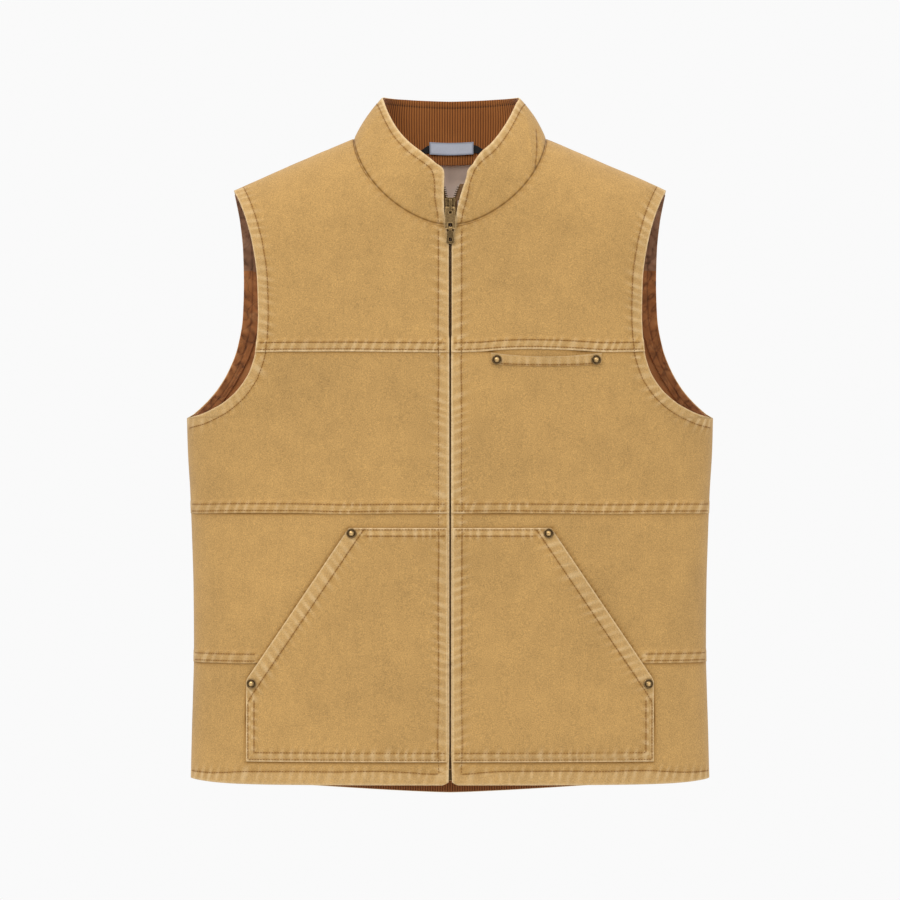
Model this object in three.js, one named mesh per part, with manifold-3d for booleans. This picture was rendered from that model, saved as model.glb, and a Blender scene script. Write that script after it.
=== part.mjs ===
// A zip-up work vest with a stand collar, standing open as if worn, millimetres, +Z up, front to -Y.
// The origin is the centre of the neck at the height where the shoulder seams meet the collar.
import * as THREE from "three";
import Module from "manifold-3d";

const manifoldModule = await Module();
manifoldModule.setup();
const { Manifold } = manifoldModule;

// Body
const CHEST_HALF = 281;
const FRONT_DEPTH = 79;
const BACK_DEPTH = 75;
const OVAL_POWER = 2.3;
const SHOULDER_ROLL = 90;
const SHOULDER_TIP = 231;
const SHOULDER_FALL = 55;
const SHOULDER_SOFTNESS = 60;
const UNDERARM = 298;
const YOKE_SEAM = 228;
const MID_SEAM = 399.5;
const LOW_SEAM = 558.5;
const HEM = 687;
const TAIL = 14;
const HEM_CORNER = 5;
const SEAM_LAP = 11;
const LAP_RAMP = 4;

// Neck and collar
const NECK_HALF = 103;
const NECK_DROP = 95;
const NECK_POWER = 1.7;
const BACK_NECK_DROP = 20;
const COLLAR_RISE = 44;
const COLLAR_HALF = 73;
const COLLAR_FRONT_LEAN = -0.4;
const COLLAR_BACK_LEAN = 3.2;
const COLLAR_BULGE = 2.5;

// Cloth
const CANVAS = 1.2;
const GAP = 0.3;
const LINING = 2;
const CORDUROY = 1.6;
const FACING_WIDTH = 11;
const HEM_FACING = 38;
const LINING_YOKE = 140;

// Patch pockets
const POCKET_TOP = 414.5;
const POCKET_BOTTOM = 662.5;
const POCKET_CORNER = 577;
const POCKET_TOP_HALF = 107;
const POCKET_SIDE_HALF = 216;
const POCKET_INNER = 2.6;
const POCKET_BAND = 14;

// Chest pocket, on the wearer's left
const WELT_CENTRE = 102;
const WELT_HALF = 60;
const WELT_HEIGHT = 11.5;
const WELT_SAG = 4;
const WELT_STAND = 1.6;

// Rivets
const RIVET_RADIUS = 5.4;
const RIVET_HEIGHT = 2.4;

// Zip
const ZIP_CENTRE = 0.3;
const CHAIN_HALF = 3.4;
const CHAIN_THICK = 2.6;
const CHAIN_SET_BACK = 2;
const TAPE_WIDTH = 12;
const TAPE_THICK = 1;
const TOOTH_PITCH = 2.2;
const SLIDER_TOP = 64.5;
const SLIDER_LENGTH = 17.5;
const SLIDER_TOP_WIDTH = 10.6;
const SLIDER_END_WIDTH = 7.8;
const SLIDER_PLATE = 1.4;
const CROWN_WIDTH = 2.6;
const CROWN_GAP = 2.5;
const CROWN_BAR = 1.4;
const PULL_LENGTH = 22;
const PULL_WIDTH = 12;
const PULL_THICK = 1.4;
const PULL_TILT = 7.5;
const TAB_LENGTH = 16.4;
const TAB_WIDTH = 8.4;
const TAB_THICK = 1.2;

// Neck label and hanger loop
const LABEL_WIDTH = 48;
const LABEL_HEIGHT = 14;
const LABEL_THICK = 1;
const LOOP_WIDTH = 6;
const LOOP_THICK = 1;

// Front depth and back depth at a height, as shares of the full depths; height as a share of the hem
const DEPTH_ROWS = [
  { height: -0.08, front: 0.7, back: 0.62 },
  { height: 0, front: 0.73, back: 0.67 },
  { height: 0.09, front: 0.785, back: 0.8 },
  { height: 0.14, front: 0.83, back: 0.87 },
  { height: 0.22, front: 0.905, back: 0.95 },
  { height: 0.33, front: 0.98, back: 0.99 },
  { height: 0.44, front: 1, back: 1 },
  { height: 0.65, front: 0.975, back: 0.95 },
  { height: 0.82, front: 0.965, back: 0.93 },
  { height: 1.05, front: 0.985, back: 0.96 },
];

// Half width below the underarm as a share of the chest; height as a share from underarm to hem
const WIDTH_ROWS = [
  { height: 0, half: 1 },
  { height: 0.09, half: 0.9964 },
  { height: 0.2, half: 0.9875 },
  { height: 0.31, half: 0.9815 },
  { height: 0.47, half: 0.975 },
  { height: 0.635, half: 0.9733 },
  { height: 0.75, half: 0.9768 },
  { height: 0.86, half: 0.9815 },
  { height: 1, half: 0.9857 },
];

// Armhole edges: drop as a share from shoulder tip to underarm, half width as a share of the chest
const ARMHOLE_ROWS = [
  { drop: 0, front: 0.822, back: 0.822 },
  { drop: 0.05, front: 0.8, back: 0.814 },
  { drop: 0.13, front: 0.7735, back: 0.8025 },
  { drop: 0.26, front: 0.7445, back: 0.792 },
  { drop: 0.4, front: 0.729, back: 0.789 },
  { drop: 0.55, front: 0.7255, back: 0.793 },
  { drop: 0.69, front: 0.7325, back: 0.814 },
  { drop: 0.79, front: 0.7555, back: 0.847 },
  { drop: 0.87, front: 0.798, back: 0.887 },
  { drop: 0.93, front: 0.8545, back: 0.93 },
  { drop: 0.967, front: 0.911, back: 0.963 },
  { drop: 0.985, front: 0.949, back: 0.981 },
  { drop: 1, front: 1, back: 1 },
];

// Front edges beside the zip: rise above the neck seam as a share of the hem's drop,
// and how far each edge stands from the middle as a share of the collar half
const EDGE_ROWS = [
  { rise: -0.862, right: 0.026, left: 0.0342 },
  { rise: -0.793, right: 0.0151, left: 0.0219 },
  { rise: -0.032, right: 0.0164, left: 0.0233 },
  { rise: 0, right: 0.0466, left: 0.0603 },
  { rise: 0.0146, right: 0.074, left: 0.0822 },
  { rise: 0.0291, right: 0.0877, left: 0.108 },
  { rise: 0.0495, right: 0.0918, left: 0.156 },
  { rise: 0.0757, right: 0.0822, left: 0.24 },
];

// Top edge of the collar, from the front edge to the middle of the back:
// angle round the neck, half widths as shares of the collar half, depth from front to back, height share
const COLLAR_ROWS = [
  { angle: 0, right: 0.075, left: 0.25, depth: -1, height: -1.02 },
  { angle: 4, right: 0.098, left: 0.29, depth: -1, height: -0.84 },
  { angle: 14, right: 0.215, left: 0.345, depth: -0.985, height: -0.62 },
  { angle: 28, right: 0.4, left: 0.45, depth: -0.93, height: -0.37 },
  { angle: 41, right: 0.575, left: 0.6, depth: -0.8, height: -0.14 },
  { angle: 54, right: 0.745, left: 0.745, depth: -0.6, height: 0.17 },
  { angle: 67, right: 0.88, left: 0.88, depth: -0.34, height: 0.55 },
  { angle: 79, right: 0.965, left: 0.975, depth: -0.08, height: 0.88 },
  { angle: 90, right: 0.99, left: 1.02, depth: 0.15, height: 1.01 },
  { angle: 101, right: 0.965, left: 1, depth: 0.42, height: 1.04 },
  { angle: 113, right: 0.89, left: 0.92, depth: 0.66, height: 1.03 },
  { angle: 126, right: 0.75, left: 0.77, depth: 0.83, height: 1.01 },
  { angle: 139, right: 0.56, left: 0.57, depth: 0.92, height: 0.99 },
  { angle: 152, right: 0.36, left: 0.36, depth: 0.97, height: 0.975 },
  { angle: 166, right: 0.17, left: 0.17, depth: 0.995, height: 0.965 },
  { angle: 180, right: 0, left: 0, depth: 1, height: 0.96 },
];
const FRONT_NECK_ANGLES = [0, 14, 28, 41, 54, 67, 79, 90];
const BACK_NECK_ANGLES = [180, 166, 152, 139, 126, 113, 101, 90];

// Soft folds of the body: side face, middle across and down as shares of chest half and hem,
// direction in degrees, half length, half width and height in millimetres
const FOLD_ROWS = [
  { face: -1, across: 0.62, down: 0.475, turn: -24, length: 70, width: 16, height: 1.6 },
  { face: -1, across: -0.64, down: 0.48, turn: 22, length: 70, width: 16, height: 1.6 },
  { face: -1, across: 0.88, down: 0.7, turn: 70, length: 60, width: 14, height: 1.6 },
  { face: -1, across: -0.89, down: 0.66, turn: -74, length: 60, width: 14, height: 1.5 },
  { face: -1, across: 0.5, down: 0.22, turn: 62, length: 55, width: 18, height: 1.4 },
  { face: -1, across: -0.48, down: 0.24, turn: -60, length: 55, width: 18, height: 1.4 },
  { face: 1, across: 0, down: 0.3, turn: 8, length: 120, width: 26, height: -1.6 },
  { face: 1, across: 0.45, down: 0.62, turn: 64, length: 110, width: 24, height: 1.8 },
  { face: 1, across: -0.42, down: 0.64, turn: -60, length: 110, width: 24, height: 1.8 },
];

const CANVAS_LOOK = new THREE.MeshStandardMaterial({ color: 0xc8a468, roughness: 0.92, metalness: 0 });
const QUILT_LOOK = new THREE.MeshStandardMaterial({ color: 0x8a4f26, roughness: 0.85, metalness: 0 });
const GREY_LOOK = new THREE.MeshStandardMaterial({ color: 0xa5958a, roughness: 0.9, metalness: 0 });
const BROWN_LOOK = new THREE.MeshStandardMaterial({ color: 0x54402e, roughness: 0.9, metalness: 0 });
const CORD_LOOK = new THREE.MeshStandardMaterial({ color: 0x7c4524, roughness: 0.95, metalness: 0 });
const BRASS_LOOK = new THREE.MeshStandardMaterial({ color: 0x7d6a4a, roughness: 0.45, metalness: 0.9 });
const TAPE_LOOK = new THREE.MeshStandardMaterial({ color: 0x6d5233, roughness: 0.9, metalness: 0 });
const LABEL_LOOK = new THREE.MeshStandardMaterial({ color: 0xb5bac2, roughness: 0.8, metalness: 0 });
const LOOP_LOOK = new THREE.MeshStandardMaterial({ color: 0x1e1c1b, roughness: 0.85, metalness: 0 });

const vest = new THREE.Group();
vest.name = "zip_up_vest";

const mix = (a, b, share) => a + (b - a) * share;
const clamp = (value, low, high) => Math.min(high, Math.max(low, value));
const soft = (share) => {
  const t = clamp(share, 0, 1);
  return t * t * (3 - 2 * t);
};

// A smooth curve through one column of a table, which never swings past its rows
function curve(rows, key, column) {
  const count = rows.length;
  const rates = [];
  for (let i = 0; i + 1 < count; i++) {
    rates.push((rows[i + 1][column] - rows[i][column]) / (rows[i + 1][key] - rows[i][key]));
  }
  const slopes = rows.map((row, i) => {
    if (i === 0) return rates[0];
    if (i === count - 1) return rates[count - 2];
    if (rates[i - 1] * rates[i] <= 0) return 0;
    return (2 * rates[i - 1] * rates[i]) / (rates[i - 1] + rates[i]);
  });
  return (at) => {
    const q = clamp(at, rows[0][key], rows[count - 1][key]);
    let i = 0;
    while (i < count - 2 && q > rows[i + 1][key]) i++;
    const span = rows[i + 1][key] - rows[i][key];
    const t = (q - rows[i][key]) / span;
    const a = rows[i][column];
    const b = rows[i + 1][column];
    const rise = t * t * (3 - 2 * t);
    return (
      mix(a, b, rise) +
      span * (slopes[i] * t * (1 - t) * (1 - t) - slopes[i + 1] * t * t * (1 - t))
    );
  };
}

const depthShare = { front: curve(DEPTH_ROWS, "height", "front"), back: curve(DEPTH_ROWS, "height", "back") };
const widthShare = curve(WIDTH_ROWS, "height", "half");
const armholeShare = { front: curve(ARMHOLE_ROWS, "drop", "front"), back: curve(ARMHOLE_ROWS, "drop", "back") };
const edgeShare = { right: curve(EDGE_ROWS, "rise", "right"), left: curve(EDGE_ROWS, "rise", "left") };

// The body's form
const reach = (x) => Math.hypot(x, SHOULDER_SOFTNESS);
const fallRate = SHOULDER_FALL / (reach(SHOULDER_TIP) - reach(NECK_HALF));
const shoulderLine = (x) => fallRate * (reach(NECK_HALF) - reach(x));
const shoulderSlope = (x) => (-fallRate * x) / reach(x);
const halfWidth = (z) => CHEST_HALF * widthShare((-z - UNDERARM) / (HEM - UNDERARM));
const depthAt = (face, z) =>
  face < 0 ? FRONT_DEPTH * depthShare.front(-z / HEM) : BACK_DEPTH * depthShare.back(-z / HEM);
const across = (turn) => Math.sign(turn) * Math.sin(Math.abs(turn)) ** (2 / OVAL_POWER);
const turnAt = (share) => Math.sign(share) * Math.asin(Math.min(1, Math.abs(share)) ** (OVAL_POWER / 2));
const rollArc = (w) =>
  w < SHOULDER_ROLL
    ? SHOULDER_ROLL * Math.acos(clamp(1 - w / SHOULDER_ROLL, -1, 1))
    : (SHOULDER_ROLL * Math.PI) / 2 + w - SHOULDER_ROLL;
const rollDrop = (arc) =>
  arc < (SHOULDER_ROLL * Math.PI) / 2
    ? SHOULDER_ROLL * (1 - Math.cos(arc / SHOULDER_ROLL))
    : arc - (SHOULDER_ROLL * Math.PI) / 2 + SHOULDER_ROLL;

function foldAt(face, x, z) {
  let sum = 0;
  for (const fold of FOLD_ROWS) {
    if (fold.face !== face) continue;
    const turn = THREE.MathUtils.degToRad(fold.turn);
    const dx = x - fold.across * CHEST_HALF;
    const dz = z + fold.down * HEM;
    const along = (dx * Math.cos(turn) + dz * Math.sin(turn)) / fold.length;
    const beside = (-dx * Math.sin(turn) + dz * Math.cos(turn)) / fold.width;
    sum += fold.height * Math.exp(-along * along - beside * beside);
  }
  const calm = soft((Math.abs(x) - 12) / 30);
  const edge = soft((halfWidth(z) - Math.abs(x)) / 12);
  return sum * (face < 0 ? calm : 1) * edge;
}

// A point of the body's outer surface and its outward direction, at a place in the front view
function surface(face, x, z) {
  const width = halfWidth(z);
  const depth = depthAt(face, z);
  const u = Math.min(1, Math.abs(x) / width);
  const v = clamp((shoulderLine(x) - z) / SHOULDER_ROLL, 0, 1);
  const oval = Math.max(0, 1 - u ** OVAL_POWER) ** (1 / OVAL_POWER);
  const roll = Math.sqrt(Math.max(0, 1 - (1 - v) ** 2));
  const step = 0.5;
  const depthRate = (depthAt(face, z + step) - depthAt(face, z - step)) / (2 * step);
  const widthRate = (halfWidth(z + step) - halfWidth(z - step)) / (2 * step);
  const un = u ** (OVAL_POWER - 1);
  const on = oval ** OVAL_POWER;
  const gx =
    (depth * un * roll * roll * Math.sign(x)) / width -
    (depth * on * (1 - v) * shoulderSlope(x)) / SHOULDER_ROLL;
  const gy = oval ** (OVAL_POWER - 1) * roll;
  const gz =
    -depthRate * on * roll * roll -
    (depth * un * roll * roll * Math.abs(x) * widthRate) / (width * width) +
    (depth * on * (1 - v)) / SHOULDER_ROLL;
  const out = new THREE.Vector3(gx, face * gy, gz).normalize();
  const at = new THREE.Vector3(x, face * (depth * oval * roll + GAP / 2 + 0.05), z);
  at.addScaledVector(out, foldAt(face, x, z));
  return { at, out };
}

// Points along a line between two places of the front view, evenly round the body
function lineAcross(face, start, end, shares) {
  const wa = shoulderLine(start.x) - start.z;
  const wb = shoulderLine(end.x) - end.z;
  const rolled = Math.min(wa, wb) < SHOULDER_ROLL;
  const ta = turnAt(start.x / halfWidth(start.z));
  const tb = turnAt(end.x / halfWidth(end.z));
  return shares.map((share) => {
    const turn = mix(ta, tb, share);
    if (!rolled) {
      const z = mix(start.z, end.z, share) + (start.bow ? start.bow(share) : 0);
      return { x: halfWidth(z) * across(turn), z };
    }
    const x = CHEST_HALF * across(turn);
    return { x, z: shoulderLine(x) - rollDrop(mix(rollArc(wa), rollArc(wb), share)) };
  });
}

// A closed solid between outer and inner points; patches that share points are joined
function clothSolid(patches) {
  const outer = [];
  const inner = [];
  const seen = new Map();
  const faces = [];
  const cornerOf = (cell) => {
    const p = cell.outer;
    const key = [p.x, p.y, p.z].map((v) => Math.round(v * 2000)).join(" ");
    if (!seen.has(key)) {
      seen.set(key, outer.length);
      outer.push(cell.outer);
      inner.push(cell.inner);
    }
    return seen.get(key);
  };
  const side = new THREE.Vector3();
  const up = new THREE.Vector3();
  const thick = new THREE.Vector3();
  for (const grid of patches) {
    for (let r = 0; r + 1 < grid.length; r++) {
      for (let c = 0; c + 1 < grid[r].length; c++) {
        const ids = [grid[r][c], grid[r][c + 1], grid[r + 1][c + 1], grid[r + 1][c]].map(cornerOf);
        const [a, b, d, e] = ids.map((id) => outer[id]);
        side.subVectors(d, a);
        up.subVectors(e, b);
        side.cross(up);
        thick.subVectors(a, inner[ids[0]]).add(d).sub(inner[ids[2]]);
        if (side.dot(thick) < 0) ids.reverse();
        faces.push([ids[0], ids[1], ids[2]], [ids[0], ids[2], ids[3]]);
      }
    }
  }
  const edges = new Set();
  const kept = faces.filter((f) => f[0] !== f[1] && f[1] !== f[2] && f[0] !== f[2]);
  for (const f of kept) {
    for (let i = 0; i < 3; i++) edges.add(`${f[i]} ${f[(i + 1) % 3]}`);
  }
  const index = [];
  const count = outer.length;
  for (const f of kept) {
    index.push(f[0], f[1], f[2], f[2] + count, f[1] + count, f[0] + count);
    for (let i = 0; i < 3; i++) {
      const a = f[i];
      const b = f[(i + 1) % 3];
      if (edges.has(`${b} ${a}`)) continue;
      index.push(b, a, a + count, b, a + count, b + count);
    }
  }
  const geometry = new THREE.BufferGeometry();
  const positions = [...outer, ...inner].flatMap((p) => [p.x, p.y, p.z]);
  geometry.setAttribute("position", new THREE.Float32BufferAttribute(positions, 3));
  geometry.setIndex(index);
  geometry.computeVertexNormals();
  return geometry;
}

function add(name, geometry, look) {
  const mesh = new THREE.Mesh(geometry, look.clone());
  mesh.name = name;
  vest.add(mesh);
  return mesh;
}

const layer = (spot, lift, thickness) => ({
  outer: spot.at.clone().addScaledVector(spot.out, lift),
  inner: spot.at.clone().addScaledVector(spot.out, lift - thickness),
});

const steps = (count) => Array.from({ length: count + 1 }, (_, i) => i / count);
const shoulderTipX = CHEST_HALF * ARMHOLE_ROWS[0].front;
const armholeTop = shoulderLine(shoulderTipX);
const armhole = (face, z) => {
  const share = armholeShare[face < 0 ? "front" : "back"]((armholeTop - z) / (armholeTop + UNDERARM));
  return CHEST_HALF * share;
};
const outerEdge = (face, z) => (z <= -UNDERARM ? halfWidth(z) : armhole(face, z));
const frontEdge = (sign, z) => COLLAR_HALF * edgeShare[sign < 0 ? "right" : "left"]((z + NECK_DROP) / HEM);
const neckPoint = (degrees) => {
  const angle = THREE.MathUtils.degToRad(degrees);
  const power = 2 / NECK_POWER;
  const drop = degrees <= 90 ? NECK_DROP : BACK_NECK_DROP;
  return {
    x: NECK_HALF * Math.sin(angle) ** power,
    z: degrees === 90 ? 0 : -drop * Math.abs(Math.cos(angle)) ** power,
  };
};

// Front panels: straight rows below the yoke, ruled rows from the neck to the armhole above it
const FRONT_COLUMNS = steps(8);
const TIP_SHARES = [0.854, 0.715, 0.582, 0.456, 0.335, 0.234, 0.146, 0.076, 0.025, 0];
const frontHem = (x) => -HEM + HEM_CORNER * (Math.abs(x) / halfWidth(-HEM)) ** 10;
const level = (sign, z) => ({
  start: { x: frontEdge(sign, z), z },
  end: { x: outerEdge(-1, z), z },
});

function frontGrid(sign, rows) {
  return rows.map((row) =>
    lineAcross(-1, row.start, row.end, FRONT_COLUMNS).map((place) => {
      const z = row.hem ? frontHem(place.x) : place.z;
      return layer(surface(-1, sign * place.x, z), row.lift || 0, CANVAS);
    }),
  );
}

const lap = GAP + CANVAS;
function lapRows(sign, z) {
  return [
    { ...level(sign, -z), lift: lap },
    { ...level(sign, -z + SEAM_LAP), lift: lap },
    { ...level(sign, -z + SEAM_LAP + LAP_RAMP) },
  ];
}
const under = (sign, z) => ({ ...level(sign, -z + SEAM_LAP - 1.2 - GAP) });

for (const [name, sign] of [["left", 1], ["right", -1]]) {
  const yokeFoot = -YOKE_SEAM + SEAM_LAP + LAP_RAMP;
  const yokeRows = lapRows(sign, YOKE_SEAM);
  TIP_SHARES.forEach((share, i) => {
    const z = mix(armholeTop, yokeFoot, share);
    const end = share === 0 ? { x: shoulderTipX, z: armholeTop } : { x: armhole(-1, z), z };
    let start;
    if (i < 2) {
      const zs = mix(-NECK_DROP, yokeFoot, [0.68, 0.34][i]);
      start = { x: frontEdge(sign, zs), z: zs };
    } else {
      start = neckPoint(FRONT_NECK_ANGLES[i - 2]);
      if (i === 2) start.x = frontEdge(sign, start.z);
    }
    yokeRows.push({ start, end });
  });
  add(`front_yoke_${name}`, clothSolid([frontGrid(sign, yokeRows)]), CANVAS_LOOK);

  const chestRows = [
    ...lapRows(sign, MID_SEAM),
    level(sign, mix(-MID_SEAM + SEAM_LAP + LAP_RAMP, -UNDERARM, 0.45)),
    ...[0, 0.07, 0.157, 0.286, 0.514, 0.757, 1].map((share) => level(sign, mix(-UNDERARM, -YOKE_SEAM, share))),
    under(sign, YOKE_SEAM),
  ];
  add(`front_chest_${name}`, clothSolid([frontGrid(sign, chestRows)]), CANVAS_LOOK);

  const waistTop = -MID_SEAM;
  const waistFoot = -LOW_SEAM + SEAM_LAP + LAP_RAMP;
  const waistRows = [
    ...lapRows(sign, LOW_SEAM),
    level(sign, mix(waistFoot, waistTop, 0.34)),
    level(sign, mix(waistFoot, waistTop, 0.67)),
    level(sign, waistTop),
    under(sign, MID_SEAM),
  ];
  add(`front_waist_${name}`, clothSolid([frontGrid(sign, waistRows)]), CANVAS_LOOK);

  const hemRows = [
    { ...level(sign, -HEM), hem: true },
    level(sign, mix(-HEM, -LOW_SEAM, 0.2)),
    level(sign, mix(-HEM, -LOW_SEAM, 0.6)),
    level(sign, -LOW_SEAM),
    under(sign, LOW_SEAM),
  ];
  add(`front_hem_${name}`, clothSolid([frontGrid(sign, hemRows)]), CANVAS_LOOK);
}

// Back: two halves that share the middle column up to the neck
const backHem = (x) => {
  const side = frontHem(halfWidth(-HEM));
  return mix(-HEM - TAIL, side, (Math.abs(x) / halfWidth(-HEM)) ** 1.35);
};
const BACK_LEVELS = [0.93, 0.83, 0.71, 0.57, 0.42, 0.27, 0.13];
const BACK_TIP_SHARES = [0.875, 0.72, 0.575, 0.45, 0.335, 0.235, 0.15, 0.08, 0.028, 0];

function backRows() {
  const rows = [{ start: { x: 0, z: -HEM }, end: { x: halfWidth(-HEM), z: -HEM }, hem: 0 }];
  rows.push({ ...rows[0], hem: HEM_FACING });
  for (const share of BACK_LEVELS) {
    const z = mix(-UNDERARM, -HEM + HEM_FACING, share);
    rows.push({ start: { x: 0, z }, end: { x: halfWidth(z), z } });
  }
  for (const share of [0, 0.07, 0.157, 0.286, 0.514, 0.757, 1]) {
    const z = mix(-UNDERARM, -YOKE_SEAM, share);
    rows.push({ start: { x: 0, z }, end: { x: outerEdge(1, z), z } });
  }
  BACK_TIP_SHARES.forEach((share, i) => {
    const z = mix(armholeTop, -YOKE_SEAM, share);
    const end = share === 0 ? { x: shoulderTipX, z: armholeTop } : { x: armhole(1, z), z };
    let start;
    if (i === 0) start = { x: 0, z: -mix(YOKE_SEAM, LINING_YOKE, 0.5) };
    else if (i === 1) start = { x: 0, z: -LINING_YOKE };
    else start = neckPoint(BACK_NECK_ANGLES[i - 2]);
    if (i === 2) start.x = 0;
    rows.push({ start, end, yoke: i >= 1 });
  });
  return rows;
}

// The last column is the width of the armhole facing
function backColumns(row) {
  const width = Math.max(row.end.x - row.start.x, 1);
  const strip = clamp(FACING_WIDTH / width, 0.02, 0.4);
  return [...steps(7).map((t) => t * (1 - strip)), 1];
}

function backGrid(sign, rows, lift, thickness, trim = {}) {
  const from = trim.from || 0;
  const to = trim.to === undefined ? 8 : trim.to;
  return rows.map((row) => {
    const shares = backColumns(row);
    const width = Math.max(row.end.x - row.start.x, 1);
    const nip = (trim.nip || 0) / width;
    const used = shares.slice(from, to + 1).map((share, i, list) => {
      if (trim.nipStart && i === 0) return share + nip;
      if (trim.nipEnd && i === list.length - 1) return share - nip;
      return share;
    });
    return lineAcross(1, row.start, row.end, used).map((place) => {
      let z = place.z;
      if (row.hem !== undefined) z = backHem(place.x) + row.hem;
      if (row.shift) z += row.shift;
      return layer(surface(1, sign * place.x, z), lift, thickness);
    });
  });
}

const allBack = backRows();
const yokeStart = allBack.findIndex((row) => row.yoke);
const armStart = 2 + BACK_LEVELS.length;
add(
  "back_panel",
  clothSolid([backGrid(1, allBack, 0, CANVAS), backGrid(-1, allBack, 0, CANVAS)]),
  CANVAS_LOOK,
);

const inside = -CANVAS - GAP - 0.2;
const nudge = (row, shift) => ({ ...row, shift });
const mainRows = [nudge(allBack[1], GAP), ...allBack.slice(2, yokeStart), nudge(allBack[yokeStart], -GAP)];
const belowArm = mainRows.slice(0, 1 + BACK_LEVELS.length + 1);
const besideArm = mainRows.slice(1 + BACK_LEVELS.length);
const liningParts = [1, -1].flatMap((sign) => [
  backGrid(sign, belowArm, inside, LINING),
  backGrid(sign, besideArm, inside, LINING, { to: 7 }),
]);
add("lining_back", clothSolid(liningParts), QUILT_LOOK);
add(
  "lining_back_yoke",
  clothSolid([1, -1].map((sign) => backGrid(sign, allBack.slice(yokeStart), inside, LINING, { to: 7 }))),
  GREY_LOOK,
);
for (const [name, sign] of [["left", 1], ["right", -1]]) {
  const trim = { from: 7, to: 8, nipStart: true, nip: GAP + 0.1 };
  const strip = allBack.slice(armStart + 1);
  add(`armhole_facing_${name}`, clothSolid([backGrid(sign, strip, inside, LINING, trim)]), BROWN_LOOK);
}
const facingRows = [allBack[0], { ...allBack[1] }];
add(
  "back_hem_facing",
  clothSolid([1, -1].map((sign) => backGrid(sign, facingRows, inside, CANVAS + 0.4))),
  BROWN_LOOK,
);

// Collar: a band round the neck seam, in a canvas outside and a corduroy inside
const collarTop = {};
for (const column of ["right", "left", "depth", "height"]) {
  collarTop[column] = curve(COLLAR_ROWS, "angle", column);
}
const neckKnots = [...FRONT_NECK_ANGLES, ...BACK_NECK_ANGLES.slice(0, -1).reverse()];

function neckSeamPoint(sign, degrees) {
  const place = neckPoint(degrees);
  const face = degrees <= 90 ? -1 : 1;
  if (degrees === 0) place.x = frontEdge(sign, place.z);
  const spot = surface(face, sign * place.x, place.z);
  if (degrees === 90) spot.at.y = 0;
  const middle = new THREE.Vector3(0, -6, 12);
  const toward = middle.sub(spot.at);
  toward.addScaledVector(spot.out, -toward.dot(spot.out)).normalize();
  if (degrees === 0 || degrees === 180) toward.set(0, toward.y, toward.z).normalize();
  return spot.at.clone().addScaledVector(toward, GAP + 0.15);
}

function neckSeam(sign, degrees) {
  let i = 0;
  while (i < neckKnots.length - 2 && degrees > neckKnots[i + 1]) i++;
  const share = (degrees - neckKnots[i]) / (neckKnots[i + 1] - neckKnots[i]);
  return neckSeamPoint(sign, neckKnots[i]).lerp(neckSeamPoint(sign, neckKnots[i + 1]), share);
}

const collarFront = Math.abs(surface(-1, 0, -NECK_DROP).at.y) + COLLAR_FRONT_LEAN;
const collarBack = surface(1, 0, -BACK_NECK_DROP).at.y + COLLAR_BACK_LEAN;
function collarRim(sign, degrees) {
  const side = sign < 0 ? "right" : "left";
  const depth = collarTop.depth(degrees);
  return new THREE.Vector3(
    sign * COLLAR_HALF * collarTop[side](degrees),
    depth < 0 ? depth * collarFront : depth * collarBack,
    COLLAR_RISE * collarTop.height(degrees),
  );
}

function collarSpot(sign, degrees, share) {
  const place = (angle, t) => {
    const low = neckSeam(sign, angle);
    const high = collarRim(sign, angle);
    const spot = low.lerp(high, t);
    if (angle < 14) {
      const edge = frontEdge(sign, spot.z);
      spot.x = mix(sign * edge, spot.x, soft(angle / 14) * (angle > 0 ? 1 : 0));
    }
    return spot;
  };
  const at = place(degrees, share);
  const low = degrees < 2 ? 0 : degrees - 2;
  const high = degrees > 178 ? 180 : degrees + 2;
  const around = degrees < 14 ? new THREE.Vector3(sign, 0.08, 0) : place(high, share).sub(place(low, share));
  const rise = place(degrees, Math.min(1, share + 0.05)).sub(place(degrees, Math.max(0, share - 0.05)));
  const out = around.cross(rise).multiplyScalar(sign).normalize();
  if (degrees === 180) out.x = 0;
  const bulge = COLLAR_BULGE * 4 * share * (1 - share) * soft(degrees / 30);
  at.addScaledVector(out, bulge);
  return { at, out };
}

const COLLAR_LEVELS = [0, 0.3, 0.65, 1];
function collarGrid(lift, thickness, first, front) {
  const stops = COLLAR_ROWS.filter((row) => row.angle >= front);
  const half = (sign) => stops.map((row) => ({ sign, degrees: row.angle }));
  const ring = [...half(-1), ...half(1).slice(0, -1).reverse()];
  return COLLAR_LEVELS.map((share, r) =>
    ring.map((stop) => {
      const spot = collarSpot(stop.sign, stop.degrees, r === 0 ? first : share);
      return layer(spot, lift, thickness);
    }),
  );
}
add("collar_shell", clothSolid([collarGrid(0, CANVAS, 0, 0)]), CANVAS_LOOK);
const cordLift = -CANVAS - GAP;
add("collar_lining", clothSolid([collarGrid(cordLift, CORDUROY, 0.02, FRONT_NECK_ANGLES[1])]), CORD_LOOK);

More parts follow.
